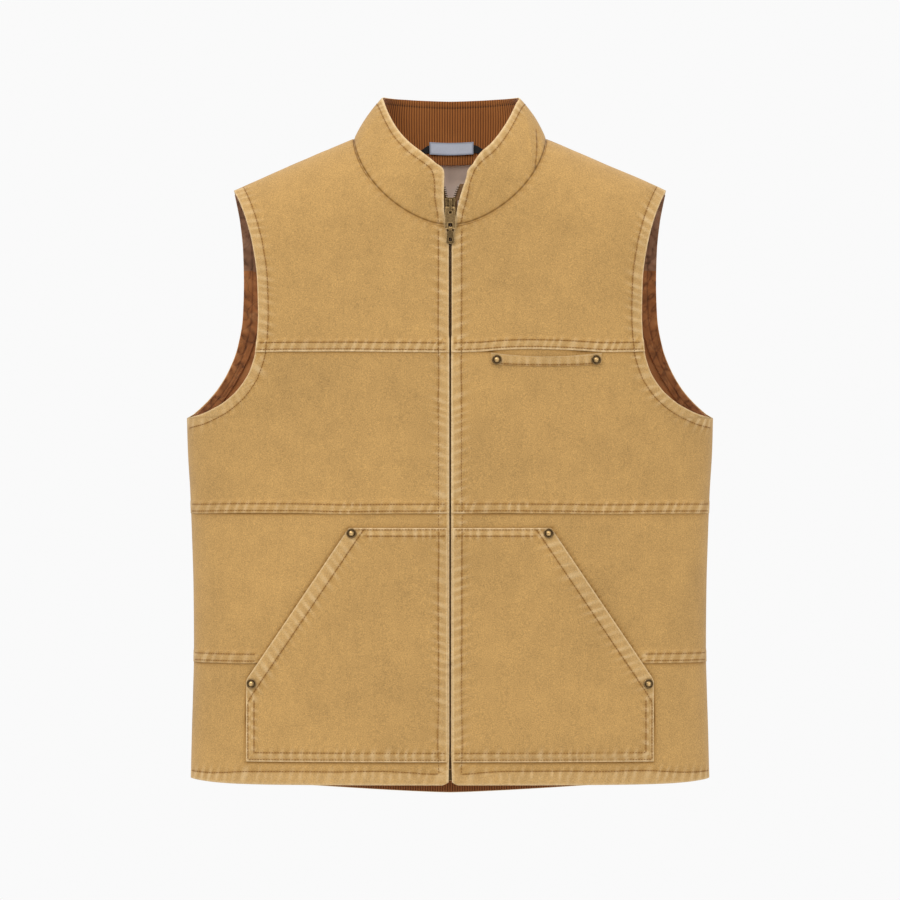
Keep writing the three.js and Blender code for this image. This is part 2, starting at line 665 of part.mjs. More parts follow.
// Label and hanger loop lie on the corduroy at the middle of the back
function collarAt(x, share, lift) {
  const sign = x < 0 ? -1 : 1;
  let low = 126;
  let high = 180;
  for (let i = 0; i < 30; i++) {
    const middle = (low + high) / 2;
    if (Math.abs(collarSpot(sign, middle, share).at.x) > Math.abs(x)) low = middle;
    else high = middle;
  }
  const spot = collarSpot(sign, (low + high) / 2, share);
  spot.at.addScaledVector(spot.out, lift);
  return spot;
}
const onCord = cordLift - CORDUROY - GAP - 0.1;
const collarHeight = COLLAR_RISE + BACK_NECK_DROP;
const loopPath = [
  { x: -0.66, rise: 0.05 },
  { x: -0.5, rise: 0.16 },
  { x: -0.2, rise: 0.2 },
  { x: 0.06, rise: 0.2 },
  { x: 0.3, rise: 0.2 },
  { x: 0.6, rise: 0.16 },
  { x: 0.78, rise: 0.05 },
];
const loopGrid = [0, 1].map((edge) =>
  loopPath.map((stop) => {
    const share = stop.rise + (edge * LOOP_WIDTH) / collarHeight;
    return layer(collarAt(stop.x * LABEL_WIDTH, share, 0), onCord, LOOP_THICK);
  }),
);
add("hanger_loop", clothSolid([loopGrid]), LOOP_LOOK);
const labelGrid = [0.06, 0.06 + LABEL_HEIGHT / collarHeight].map((share) =>
  steps(4).map((t) => {
    const x = mix(-0.5, 0.5, t) * LABEL_WIDTH + 1.7;
    return layer(collarAt(x, share, 0), onCord - LOOP_THICK - GAP, LABEL_THICK);
  }),
);
add("neck_label", clothSolid([labelGrid]), LABEL_LOOK);

// Patch pockets with a slanted mouth; the mouth's band is a raised fold
const pocketLift = lap + 2 * GAP + CANVAS;
const pocketOuter = (z) =>
  z < -POCKET_CORNER
    ? POCKET_SIDE_HALF
    : mix(POCKET_SIDE_HALF, POCKET_TOP_HALF, (z + POCKET_CORNER) / (POCKET_CORNER - POCKET_TOP));
const lowFace = -LOW_SEAM + SEAM_LAP;
const POCKET_LEVELS = [
  -POCKET_BOTTOM,
  mix(-POCKET_BOTTOM, -POCKET_CORNER, 0.5),
  -POCKET_CORNER,
  mix(-POCKET_CORNER, -POCKET_TOP, 0.14),
  mix(-POCKET_CORNER, -POCKET_TOP, 0.3),
  mix(-POCKET_CORNER, -POCKET_TOP, 0.52),
  mix(-POCKET_CORNER, -POCKET_TOP, 0.76),
  -POCKET_TOP,
];
for (const [name, sign] of [["left", 1], ["right", -1]]) {
  const grid = POCKET_LEVELS.map((z) => {
    const end = pocketOuter(z);
    const start = POCKET_INNER;
    const mouth = z > -POCKET_CORNER - 1;
    const band = mouth ? POCKET_BAND : POCKET_BAND * 0.6;
    const ta = turnAt(start / halfWidth(z));
    const inner = turnAt((end - band - 1.5) / halfWidth(z));
    const rim = turnAt((end - band) / halfWidth(z));
    const tb = turnAt(end / halfWidth(z));
    const turns = [...steps(5).map((t) => mix(ta, inner, t)), rim, tb];
    return turns.map((turn, i) => {
      const x = halfWidth(z) * across(turn);
      const spot = surface(-1, sign * x, z);
      return layer(spot, pocketLift + (i >= 6 ? 0.5 : 0), CANVAS);
    });
  });
  add(`pocket_${name}`, clothSolid([grid]), CANVAS_LOOK);
}

// Chest pocket welt: a folded strip whose middle sags and stands off the chest
const weltGrid = [0, 0.45, 1].map((rise) =>
  steps(8).map((t) => {
    const along = 2 * t - 1;
    const dip = 1 - along * along;
    const x = WELT_CENTRE + along * WELT_HALF;
    const foot = -YOKE_SEAM - GAP - WELT_HEIGHT - 1.6 - 0.5 * WELT_SAG * dip;
    const head = -YOKE_SEAM - GAP - 0.8 - WELT_SAG * dip;
    const stand = GAP + CANVAS + WELT_STAND * rise * dip;
    return layer(surface(-1, x, mix(foot, head, rise)), stand, CANVAS);
  }),
);
add("chest_welt", clothSolid([weltGrid]), CANVAS_LOOK);

// Rivets: a ringed dome turned from a short profile
const RIVET_ROWS = [
  { radius: 0.9, height: 0 },
  { radius: 1, height: 0.3 },
  { radius: 0.86, height: 0.72 },
  { radius: 0.66, height: 0.6 },
  { radius: 0.46, height: 0.92 },
];
function rivet() {
  const sides = 12;
  const positions = [0, 0, 0];
  const index = [];
  for (const row of RIVET_ROWS) {
    for (let i = 0; i < sides; i++) {
      const turn = (2 * Math.PI * i) / sides;
      const r = RIVET_RADIUS * row.radius;
      positions.push(r * Math.cos(turn), r * Math.sin(turn), RIVET_HEIGHT * row.height);
    }
  }
  const top = positions.length / 3;
  positions.push(0, 0, RIVET_HEIGHT);
  for (let i = 0; i < sides; i++) {
    const j = (i + 1) % sides;
    index.push(0, 1 + j, 1 + i);
    for (let r = 0; r + 1 < RIVET_ROWS.length; r++) {
      const a = 1 + r * sides;
      const b = a + sides;
      index.push(a + i, a + j, b + j, a + i, b + j, b + i);
    }
    const last = 1 + (RIVET_ROWS.length - 1) * sides;
    index.push(last + i, last + j, top);
  }
  const geometry = new THREE.BufferGeometry();
  geometry.setAttribute("position", new THREE.Float32BufferAttribute(positions, 3));
  geometry.setIndex(index);
  geometry.computeVertexNormals();
  return geometry;
}
const onPocket = pocketLift + 0.5 + GAP;
const rivetTopX = POCKET_TOP_HALF - 3;
const rivetSpots = [
  { name: "rivet_pocket_left_top", x: rivetTopX, z: -POCKET_TOP - 5.6, lift: onPocket },
  { name: "rivet_pocket_left_side", x: POCKET_SIDE_HALF - 6.6, z: -POCKET_CORNER - 3, lift: onPocket },
  { name: "rivet_pocket_right_top", x: -rivetTopX, z: -POCKET_TOP - 5.6, lift: onPocket },
  { name: "rivet_pocket_right_side", x: -POCKET_SIDE_HALF + 6.6, z: -POCKET_CORNER - 3, lift: onPocket },
  { name: "rivet_chest_inner", x: WELT_CENTRE - WELT_HALF + 6, z: -YOKE_SEAM - 8.5, lift: lap + GAP + 0.3 },
  { name: "rivet_chest_outer", x: WELT_CENTRE + WELT_HALF - 6, z: -YOKE_SEAM - 8.5, lift: lap + GAP + 0.3 },
];
for (const spot of rivetSpots) {
  const seat = surface(-1, spot.x, spot.z);
  const mesh = add(spot.name, rivet(), BRASS_LOOK);
  mesh.position.copy(seat.at.addScaledVector(seat.out, spot.lift));
  mesh.quaternion.setFromUnitVectors(new THREE.Vector3(0, 0, 1), seat.out);
}

// Zip: the plane it lies in, behind the front edges and the collar's edges
const rimFront = collarRim(1, 0);
const neckFront = surface(-1, 0, -NECK_DROP).at;
const zipFace = (z) => {
  if (z < -NECK_DROP) return surface(-1, 0, z).at.y;
  return mix(neckFront.y, rimFront.y, (z + NECK_DROP) / (rimFront.z + NECK_DROP));
};
const chainFront = CHAIN_SET_BACK;
const chainMiddle = CHAIN_SET_BACK + CHAIN_THICK / 2;
const chainEnd = -SLIDER_TOP - 0.83 * SLIDER_LENGTH;
const zipFoot = -HEM + HEM_CORNER;
const boxTop = zipFoot + 0.69 * SLIDER_LENGTH;
const bar = (z, left, right, front, back) => ({
  corners: [
    new THREE.Vector3(left, zipFace(z) + front, z),
    new THREE.Vector3(right, zipFace(z) + front, z),
    new THREE.Vector3(right, zipFace(z) + back, z),
    new THREE.Vector3(left, zipFace(z) + back, z),
  ],
});

// A closed bar through four-cornered sections, from the lowest to the highest
function loft(sections) {
  const positions = sections.flatMap((s) => s.corners.flatMap((p) => [p.x, p.y, p.z]));
  const index = [];
  for (let s = 0; s + 1 < sections.length; s++) {
    for (let i = 0; i < 4; i++) {
      const a = 4 * s + i;
      const b = 4 * s + ((i + 1) % 4);
      index.push(a, b, b + 4, a, b + 4, a + 4);
    }
  }
  const last = 4 * (sections.length - 1);
  index.push(0, 2, 1, 0, 3, 2, last, last + 1, last + 2, last, last + 2, last + 3);
  const geometry = new THREE.BufferGeometry();
  geometry.setAttribute("position", new THREE.Float32BufferAttribute(positions, 3));
  geometry.setIndex(index);
  geometry.computeVertexNormals();
  return geometry;
}

const chainZ = steps(14).map((t) => mix(boxTop + GAP, chainEnd, t));
add(
  "zipper_chain",
  loft(
    chainZ.map((z) =>
      bar(z, ZIP_CENTRE - CHAIN_HALF, ZIP_CENTRE + CHAIN_HALF, chainFront, chainFront + CHAIN_THICK),
    ),
  ),
  BRASS_LOOK,
);
add(
  "zipper_box",
  loft(
    [zipFoot, boxTop].map((z) =>
      bar(z, ZIP_CENTRE - CHAIN_HALF - 1.4, ZIP_CENTRE + CHAIN_HALF + 1.4, chainFront, chainFront + CHAIN_THICK + 0.4),
    ),
  ),
  BRASS_LOOK,
);

// Open stretch: teeth and tape follow each collar edge up from the slider
const openFoot = -SLIDER_TOP - 0.18 * SLIDER_LENGTH;
const openTop = -NECK_DROP + COLLAR_RISE;
const spread = (sign, z) => {
  const edge = frontEdge(sign, z) - frontEdge(sign, openFoot);
  const start = 0.82 * CHAIN_HALF + sign * ZIP_CENTRE;
  return start + Math.max(0, edge) * 0.85 + Math.max(0, z - openFoot) * (sign > 0 ? 0.12 : 0.22);
};
for (const [name, sign] of [["left", 1], ["right", -1]]) {
  const count = Math.floor((openTop - openFoot) / TOOTH_PITCH);
  const sections = [];
  for (let i = 0; i < count; i++) {
    const tooth = 0.5 * TOOTH_PITCH;
    for (const [offset, tip] of [[0, 0], [0.28, tooth], [0.72, tooth], [0.999, 0]]) {
      const z = openFoot + (i + offset) * TOOTH_PITCH;
      const edge = spread(sign, z);
      const reachIn = edge - tip;
      const reachOut = edge + TOOTH_PITCH;
      sections.push(
        bar(
          z,
          sign > 0 ? reachIn : -reachOut,
          sign > 0 ? reachOut : -reachIn,
          chainFront,
          chainFront + CHAIN_THICK,
        ),
      );
    }
  }
  add(`zipper_teeth_${name}`, loft(sections), BRASS_LOOK);

  const low = steps(14).map((t) => mix(boxTop + GAP, -SLIDER_TOP - 1.12 * SLIDER_LENGTH, t));
  const high = steps(6).map((t) => mix(-SLIDER_TOP - 0.94 * SLIDER_LENGTH, openTop + TOOTH_PITCH, t));
  const tapeIn = (z) => {
    const closed = CHAIN_HALF + GAP + sign * ZIP_CENTRE;
    const aside = 0.4 * CHAIN_HALF;
    const start = SLIDER_TOP + 1.12 * SLIDER_LENGTH;
    if (z <= openFoot) return closed + aside * soft((z + start) / (0.45 * SLIDER_LENGTH));
    return Math.max(closed + aside, spread(sign, z) + TOOTH_PITCH + GAP);
  };
  add(
    `zipper_tape_${name}`,
    loft(
      [...low, ...high].map((z) => {
        const a = tapeIn(z);
        const b = a + TAPE_WIDTH * mix(1, 0.62, soft((z + NECK_DROP + TAPE_WIDTH) / (0.65 * TAPE_WIDTH)));
        const front = chainMiddle - TAPE_THICK / 2;
        return bar(z, sign > 0 ? a : -b, sign > 0 ? b : -a, front, front + TAPE_THICK);
      }),
    ),
    TAPE_LOOK,
  );
}

// Hard parts cut from flat outlines, joined into one solid each
function prism(outline, from, to) {
  // outline runs in x and z; the solid runs along y from one face to the other
  return Manifold.extrude([outline.map(([x, z]) => [x, z])], to - from)
    .rotate([90, 0, 0])
    .translate([0, to, 0]);
}
function sideways(outline, half) {
  // outline runs in y and z; the solid runs along x
  return Manifold.extrude([outline], 2 * half).translate([0, 0, -half]).rotate([90, 0, 90]);
}
const circle = (cx, cy, radius, sides) =>
  Array.from({ length: sides }, (_, i) => {
    const turn = (2 * Math.PI * (i + 0.5)) / sides;
    return [cx + radius * Math.cos(turn), cy + radius * Math.sin(turn)];
  });
function roundedBar(halfTop, halfFoot, top, foot, corner) {
  const points = [];
  const ends = [
    { x: halfTop - corner, z: top - corner, from: 0 },
    { x: -halfTop + corner, z: top - corner, from: 90 },
    { x: -halfFoot + corner, z: foot + corner, from: 180 },
    { x: halfFoot - corner, z: foot + corner, from: 270 },
  ];
  for (const end of ends) {
    for (const part of [0, 45, 90]) {
      const turn = THREE.MathUtils.degToRad(end.from + part);
      points.push([end.x + corner * Math.cos(turn), end.z + corner * Math.sin(turn)]);
    }
  }
  return points;
}
function fromManifold(solid) {
  const mesh = solid.getMesh();
  const geometry = new THREE.BufferGeometry();
  const count = mesh.numProp;
  const positions = [];
  for (let i = 0; i < mesh.vertProperties.length; i += count) {
    positions.push(mesh.vertProperties[i], mesh.vertProperties[i + 1], mesh.vertProperties[i + 2]);
  }
  geometry.setAttribute("position", new THREE.Float32BufferAttribute(positions, 3));
  geometry.setIndex(Array.from(mesh.triVerts));
  geometry.computeVertexNormals();
  return geometry;
}

const sliderFace = zipFace(-SLIDER_TOP - SLIDER_LENGTH / 2);
const play = 0.45;
const plateInner = sliderFace + chainFront - play;
const plateOuter = plateInner - SLIDER_PLATE;
const backInner = sliderFace + chainFront + CHAIN_THICK + play;
const sliderOutline = roundedBar(
  SLIDER_TOP_WIDTH / 2,
  SLIDER_END_WIDTH / 2,
  -SLIDER_TOP,
  -SLIDER_TOP - SLIDER_LENGTH,
  1.6,
);
const crownTop = -SLIDER_TOP - 1.6;
const crownFoot = -SLIDER_TOP - SLIDER_LENGTH + 2.2;
const crownInner = plateOuter - CROWN_GAP;
const crownOuter = crownInner - CROWN_BAR;
const crown = sideways(
  [
    [crownInner, crownTop],
    [crownOuter, crownTop - 1.2],
    [crownOuter, crownFoot + 1.2],
    [crownInner, crownFoot],
    [plateOuter + 0.5, crownFoot],
    [plateOuter + 0.5, crownFoot + CROWN_BAR],
    [crownInner, crownFoot + CROWN_BAR + 0.6],
    [crownInner, crownTop - CROWN_BAR - 0.6],
    [plateOuter + 0.5, crownTop - CROWN_BAR],
    [plateOuter + 0.5, crownTop],
  ],
  CROWN_WIDTH / 2,
);
const post = prism(roundedBar(0.75, 0.5, -SLIDER_TOP, -SLIDER_TOP - 5.5, 0.3), plateOuter + 0.5, backInner + 0.5);
const slider = Manifold.union([
  prism(sliderOutline, plateOuter, plateInner),
  prism(sliderOutline, backInner, backInner + SLIDER_PLATE),
  post,
  crown,
]).translate([ZIP_CENTRE, 0, 0]);
add("zipper_slider", fromManifold(slider), BRASS_LOOK);

// The pull hangs by a cross bar under the crown; its own origin is the bar's axis
const hingeY = plateOuter - CROWN_GAP / 2;
const hingeZ = -SLIDER_TOP - SLIDER_LENGTH * 0.62;
const barRadius = CROWN_GAP / 2 - 0.35;
const slotHalf = CROWN_WIDTH / 2 + 0.45;
const bodyTop = -(hingeZ - crownFoot) - 2;
const holeHalf = 2.4;
const lowBar = -PULL_LENGTH;
const lowRadius = 0.8;
const pullBody = prism(roundedBar(PULL_WIDTH / 2 - 0.9, PULL_WIDTH / 2, 1, lowBar - 0.6, 0.9), -PULL_THICK / 2, PULL_THICK / 2)
  .subtract(prism([[slotHalf, 3], [-slotHalf, 3], [-slotHalf, bodyTop], [slotHalf, bodyTop]], -2, 2))
  .subtract(
    prism(
      [
        [holeHalf, lowBar + 5.6],
        [-holeHalf, lowBar + 5.6],
        [-holeHalf, lowBar - 3],
        [holeHalf, lowBar - 3],
      ],
      -2,
      2,
    ),
  );
const crossBar = sideways(circle(0, 0, barRadius, 8), PULL_WIDTH / 2 - 1.2);
const footBar = sideways(circle(0, lowBar, lowRadius, 10), PULL_WIDTH / 2 - 1.2);
const pull = Manifold.union([pullBody, crossBar, footBar]);
const pullMesh = add("pull_plate", fromManifold(pull), BRASS_LOOK);
pullMesh.position.set(ZIP_CENTRE, hingeY, hingeZ);
const tilt = THREE.MathUtils.degToRad(PULL_TILT);
pullMesh.rotation.set(-tilt, 0, 0);

// The tab's eye rides on the pull's foot bar
const eyeInner = lowRadius + 0.35;
const eyeOuter = eyeInner + 0.85;
const eye = sideways(circle(0, 0, eyeOuter, 14), 1.7).subtract(sideways(circle(0, 0, eyeInner, 12), 3));
const neck = prism([[1.7, -eyeInner - 0.25], [-1.7, -eyeInner - 0.25], [-1.7, -3.4], [1.7, -3.4]], -TAB_THICK / 2, TAB_THICK / 2);
const tabBody = prism(roundedBar(TAB_WIDTH / 2 - 0.6, TAB_WIDTH / 2, -3, -TAB_LENGTH, 1.6), -TAB_THICK / 2, TAB_THICK / 2);
const tabHole = prism(
  roundedBar(1.85, 1.85, -TAB_LENGTH + 6.8, -TAB_LENGTH + 2.6, 0.5),
  -2,
  2,
);
const tab = Manifold.union([eye, neck, tabBody]).subtract(tabHole);
const tabMesh = add("pull_tab", fromManifold(tab), BRASS_LOOK);
tabMesh.position.set(ZIP_CENTRE, hingeY + lowBar * Math.sin(tilt), hingeZ + lowBar * Math.cos(tilt));

export default vest;
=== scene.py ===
"""Looks for a zip-up work vest: washed canvas, stitching, quilting, corduroy and brass.

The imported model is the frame. The form is worked out in millimetres from the same named sizes
as the part's source, and every piece is written to Blender in metres.
"""
import math

import bpy
import numpy as np
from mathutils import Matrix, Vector
from mathutils.kdtree import KDTree


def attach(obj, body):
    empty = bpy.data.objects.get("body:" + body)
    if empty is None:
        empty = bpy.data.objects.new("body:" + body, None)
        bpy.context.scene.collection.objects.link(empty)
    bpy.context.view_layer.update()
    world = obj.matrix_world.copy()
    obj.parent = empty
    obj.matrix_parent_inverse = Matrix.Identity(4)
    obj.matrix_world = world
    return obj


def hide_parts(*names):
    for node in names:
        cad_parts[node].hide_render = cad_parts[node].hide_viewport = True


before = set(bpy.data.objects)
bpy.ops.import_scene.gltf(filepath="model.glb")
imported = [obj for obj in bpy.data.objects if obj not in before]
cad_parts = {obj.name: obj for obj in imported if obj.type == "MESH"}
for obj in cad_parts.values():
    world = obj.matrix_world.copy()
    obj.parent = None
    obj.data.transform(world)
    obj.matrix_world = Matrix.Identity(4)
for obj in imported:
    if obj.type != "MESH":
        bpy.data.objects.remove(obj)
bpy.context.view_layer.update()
MM = 0.001

# Body form
CHEST_HALF = 281
FRONT_DEPTH = 79
BACK_DEPTH = 75
OVAL_POWER = 2.3
SHOULDER_ROLL = 90
SHOULDER_TIP = 231
SHOULDER_FALL = 55
SHOULDER_SOFTNESS = 60
UNDERARM = 298
YOKE_SEAM = 228
MID_SEAM = 399.5
LOW_SEAM = 558.5
HEM = 687
TAIL = 14
HEM_CORNER = 5
SEAM_LAP = 11
LAP_RAMP = 4
UNDER_LAP = 9.5
FRONT_RUN = 300
YOKE_RUN = 144

# Neck and collar
NECK_HALF = 103
NECK_DROP = 95
NECK_POWER = 1.7
BACK_NECK_DROP = 20
COLLAR_RISE = 44
COLLAR_HALF = 73
COLLAR_FRONT_LEAN = -0.4
COLLAR_BACK_LEAN = 3.2
COLLAR_BULGE = 2.5
COLLAR_DEGREE = 1.7
COLLAR_SIDE = 58

# Cloth
CANVAS = 1.2
FOLDED = 2.0
GAP = 0.3
LINING = 2
CORDUROY = 1.6
FACING_WIDTH = 11
HEM_FACING = 38
LINING_YOKE = 140
LAP = GAP + CANVAS
INSIDE = -CANVAS - GAP - 0.2

# Patch pockets, chest welt and rivets
POCKET_TOP = 414.5
POCKET_BOTTOM = 662.5
POCKET_CORNER = 577
POCKET_TOP_HALF = 107
POCKET_SIDE_HALF = 216
POCKET_INNER = 2.6
POCKET_BAND = 14
POCKET_RUN = 230
POCKET_LIFT = LAP + 2 * GAP + CANVAS
WELT_CENTRE = 102
WELT_HALF = 58.5
WELT_HEIGHT = 11.5
WELT_SAG = 4
WELT_STAND = 1.6
RIVET_RADIUS = 5.4
RIVET_HEIGHT = 2.4

# Zip
ZIP_CENTRE = 0.3
CHAIN_HALF = 3.4
CHAIN_THICK = 2.6
CHAIN_SET_BACK = 2
TAPE_WIDTH = 12
TAPE_THICK = 1
TOOTH_PITCH = 2.2
SLIDER_TOP = 64.5
SLIDER_LENGTH = 17.5

# Neck label and hanger loop
LABEL_WIDTH = 48
LABEL_HEIGHT = 14
LABEL_THICK = 1
LOOP_WIDTH = 6
LOOP_THICK = 1

# Stitching
STITCH_PITCH = 3.1
STITCH_LENGTH = 2.45
THREAD_RADIUS = 0.38
ROW_NEAR = 2.6
ROW_FAR = 9.9
FRONT_ROW = 12.4
ARMHOLE_ROW = 11
SLIT_TRIM = 0.45
PUCKER_PITCH = 10.4
COLLAR_ROW = 9.2
HEM_ROW = 13
FRONT_HEM_ROW = 672.4
BAND_FADE = 0.17
QUILT_SIZE = 54

# Fineness of the cloth meshes and of the seam lines
FINE = 1.45
COARSE = 3.1
POCKET_STEP = 2.2
BACK_STEP = 4.4
LINE_STEP = 0.8
THREAD_SIDES = 5
TOOTH_SIDES = 8
RIVET_SIDES = 56

SIDES = {"left": 1, "right": -1}

# height, front depth share, back depth share
DEPTH_ROWS = [
    (-0.08, 0.7, 0.62),
    (0, 0.73, 0.67),
    (0.09, 0.785, 0.8),
    (0.14, 0.83, 0.87),
    (0.22, 0.905, 0.95),
    (0.33, 0.98, 0.99),
    (0.44, 1, 1),
    (0.65, 0.975, 0.95),
    (0.82, 0.965, 0.93),
    (1.05, 0.985, 0.96),
]
# height from underarm to hem, half width share
WIDTH_ROWS = [
    (0, 1),
    (0.09, 0.9964),
    (0.2, 0.9875),
    (0.31, 0.9815),
    (0.47, 0.975),
    (0.635, 0.9733),
    (0.75, 0.9768),
    (0.86, 0.9815),
    (1, 0.9857),
]
# drop from shoulder tip to underarm, front half width share, back half width share
ARMHOLE_ROWS = [
    (0, 0.822, 0.822),
    (0.05, 0.8, 0.814),
    (0.13, 0.7735, 0.8025),
    (0.26, 0.7445, 0.792),
    (0.4, 0.729, 0.789),
    (0.55, 0.7255, 0.793),
    (0.69, 0.7325, 0.814),
    (0.79, 0.7555, 0.847),
    (0.87, 0.798, 0.887),
    (0.93, 0.8545, 0.93),
    (0.967, 0.911, 0.963),
    (0.985, 0.949, 0.981),
    (1, 1, 1),
]
# rise above the neck seam, right edge share, left edge share
EDGE_ROWS = [
    (-0.862, 0.026, 0.0342),
    (-0.793, 0.0151, 0.0219),
    (-0.032, 0.0164, 0.0233),
    (0, 0.0466, 0.0603),
    (0.0146, 0.074, 0.0822),
    (0.0291, 0.0877, 0.108),
    (0.0495, 0.0918, 0.156),
    (0.0757, 0.0822, 0.24),
]
# angle round the neck, right share, left share, depth share, height share of the collar's top edge
COLLAR_ROWS = [
    (0, 0.075, 0.25, -1, -1.02),
    (4, 0.098, 0.29, -1, -0.84),
    (14, 0.215, 0.345, -0.985, -0.62),
    (28, 0.4, 0.45, -0.93, -0.37),
    (41, 0.575, 0.6, -0.8, -0.14),
    (54, 0.745, 0.745, -0.6, 0.17),
    (67, 0.88, 0.88, -0.34, 0.55),
    (79, 0.965, 0.975, -0.08, 0.88),
    (90, 0.99, 1.02, 0.15, 1.01),
    (101, 0.965, 1, 0.42, 1.04),
    (113, 0.89, 0.92, 0.66, 1.03),
    (126, 0.75, 0.77, 0.83, 1.01),
    (139, 0.56, 0.57, 0.92, 0.99),
    (152, 0.36, 0.36, 0.97, 0.975),
    (166, 0.17, 0.17, 0.995, 0.965),
    (180, 0, 0, 1, 0.96),
]
# face, across, down, turn in degrees, length, width, height
FOLD_ROWS = [
    (-1, 0.62, 0.475, -24, 70, 16, 1.6),
    (-1, -0.64, 0.48, 22, 70, 16, 1.6),
    (-1, 0.88, 0.7, 70, 60, 14, 1.6),
    (-1, -0.89, 0.66, -74, 60, 14, 1.5),
    (-1, 0.5, 0.22, 62, 55, 18, 1.4),
    (-1, -0.48, 0.24, -60, 55, 18, 1.4),
    (1, 0, 0.3, 8, 120, 26, -1.6),
    (1, 0.45, 0.62, 64, 110, 24, 1.8),
    (1, -0.42, 0.64, -60, 110, 24, 1.8),
]
# small creases that only the looks have, with the same columns
CREASE_ROWS = [
    (-1, 0.79, 0.52, 78, 60, 7, 0.8),
    (-1, 0.72, 0.55, 74, 50, 8, 0.6),
    (-1, -0.75, 0.53, -76, 60, 8, 0.7),
    (-1, 0.2, 0.17, 55, 30, 6, 0.7),
    (-1, 0.26, 0.2, 62, 36, 7, 0.6),
    (-1, -0.2, 0.19, -48, 32, 6, 0.6),
    (-1, 0.84, 0.86, 80, 50, 8, 0.7),
    (-1, -0.84, 0.88, -84, 50, 8, 0.7),
    (1, 0.2, 0.4, 20, 90, 12, 0.9),
    (1, -0.3, 0.5, -35, 90, 12, 0.9),
    (1, 0.6, 0.8, 70, 70, 12, 0.9),
]


def soft(share):
    t = np.clip(share, 0, 1)
    return t * t * (3 - 2 * t)


def mix(a, b, share):
    return a + (b - a) * share


def unit(vectors):
    return vectors / np.maximum(np.linalg.norm(vectors, axis=-1, keepdims=True), 1e-12)


def curve(rows, column):
    """A smooth curve through one column of a table, which never swings past its rows."""
    keys = np.array([row[0] for row in rows], float)
    values = np.array([row[column] for row in rows], float)
    rates = np.diff(values) / np.diff(keys)
    same = rates[:-1] * rates[1:] > 0
    total = np.where(same, rates[:-1] + rates[1:], 1)
    middle = np.where(same, 2 * rates[:-1] * rates[1:] / total, 0)
    slopes = np.concatenate([rates[:1], middle, rates[-1:]])

    def at(where):
        q = np.clip(where, keys[0], keys[-1])
        i = np.clip(np.searchsorted(keys, q, side="right") - 1, 0, len(rates) - 1)
        span = keys[i + 1] - keys[i]
        t = (q - keys[i]) / span
        bend = slopes[i] * t * (1 - t) ** 2 - slopes[i + 1] * t * t * (1 - t)
        return mix(values[i], values[i + 1], soft(t)) + span * bend

    return at


def noise_line(where, seed):
    """Smooth noise from -1 to 1 along a line, with one swing a unit."""
    values = np.random.default_rng(seed).uniform(-1, 1, 1024)
    cell = np.floor(where).astype(int)
    t = soft(where - cell)
    return mix(values[cell % 1024], values[(cell + 1) % 1024], t)


def noise_sheet(u, v, seed):
    """Smooth noise from -1 to 1 over a sheet, with one swing a unit."""
    values = np.random.default_rng(seed).uniform(-1, 1, (128, 128))
    i = np.floor(u).astype(int)
    j = np.floor(v).astype(int)
    a = soft(u - i)
    b = soft(v - j)
    low = mix(values[i % 128, j % 128], values[(i + 1) % 128, j % 128], a)
    high = mix(values[i % 128, (j + 1) % 128], values[(i + 1) % 128, (j + 1) % 128], a)
    return mix(low, high, b)


front_depth = curve(DEPTH_ROWS, 1)
back_depth = curve(DEPTH_ROWS, 2)
width_share = curve(WIDTH_ROWS, 1)
armhole_front = curve(ARMHOLE_ROWS, 1)
armhole_back = curve(ARMHOLE_ROWS, 2)
edge_right = curve(EDGE_ROWS, 1)
edge_left = curve(EDGE_ROWS, 2)
rim_right = curve(COLLAR_ROWS, 1)
rim_left = curve(COLLAR_ROWS, 2)
rim_depth = curve(COLLAR_ROWS, 3)
rim_height = curve(COLLAR_ROWS, 4)


def reach(x):
    return np.hypot(x, SHOULDER_SOFTNESS)


FALL_RATE = SHOULDER_FALL / (reach(SHOULDER_TIP) - reach(NECK_HALF))


def shoulder_line(x):
    return FALL_RATE * (reach(NECK_HALF) - reach(x))


def half_width(z):
    return CHEST_HALF * width_share((-z - UNDERARM) / (HEM - UNDERARM))


def depth_at(face, z):
    if face < 0:
        return FRONT_DEPTH * front_depth(-z / HEM)
    return BACK_DEPTH * back_depth(-z / HEM)


def across(turn):
    return np.sign(turn) * np.abs(np.sin(turn)) ** (2 / OVAL_POWER)


def turn_at(share):
    return np.sign(share) * np.arcsin(np.minimum(1, np.abs(share)) ** (OVAL_POWER / 2))


def roll_arc(drop):
    rolled = SHOULDER_ROLL * np.arccos(np.clip(1 - drop / SHOULDER_ROLL, -1, 1))
    return np.where(drop < SHOULDER_ROLL, rolled, SHOULDER_ROLL * (math.pi / 2 - 1) + drop)


def roll_drop(arc):
    quarter = SHOULDER_ROLL * math.pi / 2
    rolled = SHOULDER_ROLL * (1 - np.cos(arc / SHOULDER_ROLL))
    return np.where(arc < quarter, rolled, arc - quarter + SHOULDER_ROLL)


def crease(dx, dz, form):
    """A long soft ridge. form is its turn in degrees, length, width and height."""
    degrees, length, width, height = form
    turn = math.radians(degrees)
    along = (dx * math.cos(turn) + dz * math.sin(turn)) / length
    beside = (-dx * math.sin(turn) + dz * math.cos(turn)) / width
    return height * np.exp(-along * along - beside * beside)


def folds(rows, face, x, z):
    total = np.zeros(np.shape(x))
    for side, middle, down, *form in rows:
        if side == face:
            total = total + crease(x - middle * CHEST_HALF, z + down * HEM, form)
    calm = soft((np.abs(x) - 12) / 30) if face < 0 else 1
    return total * calm * soft((half_width(z) - np.abs(x)) / 12)


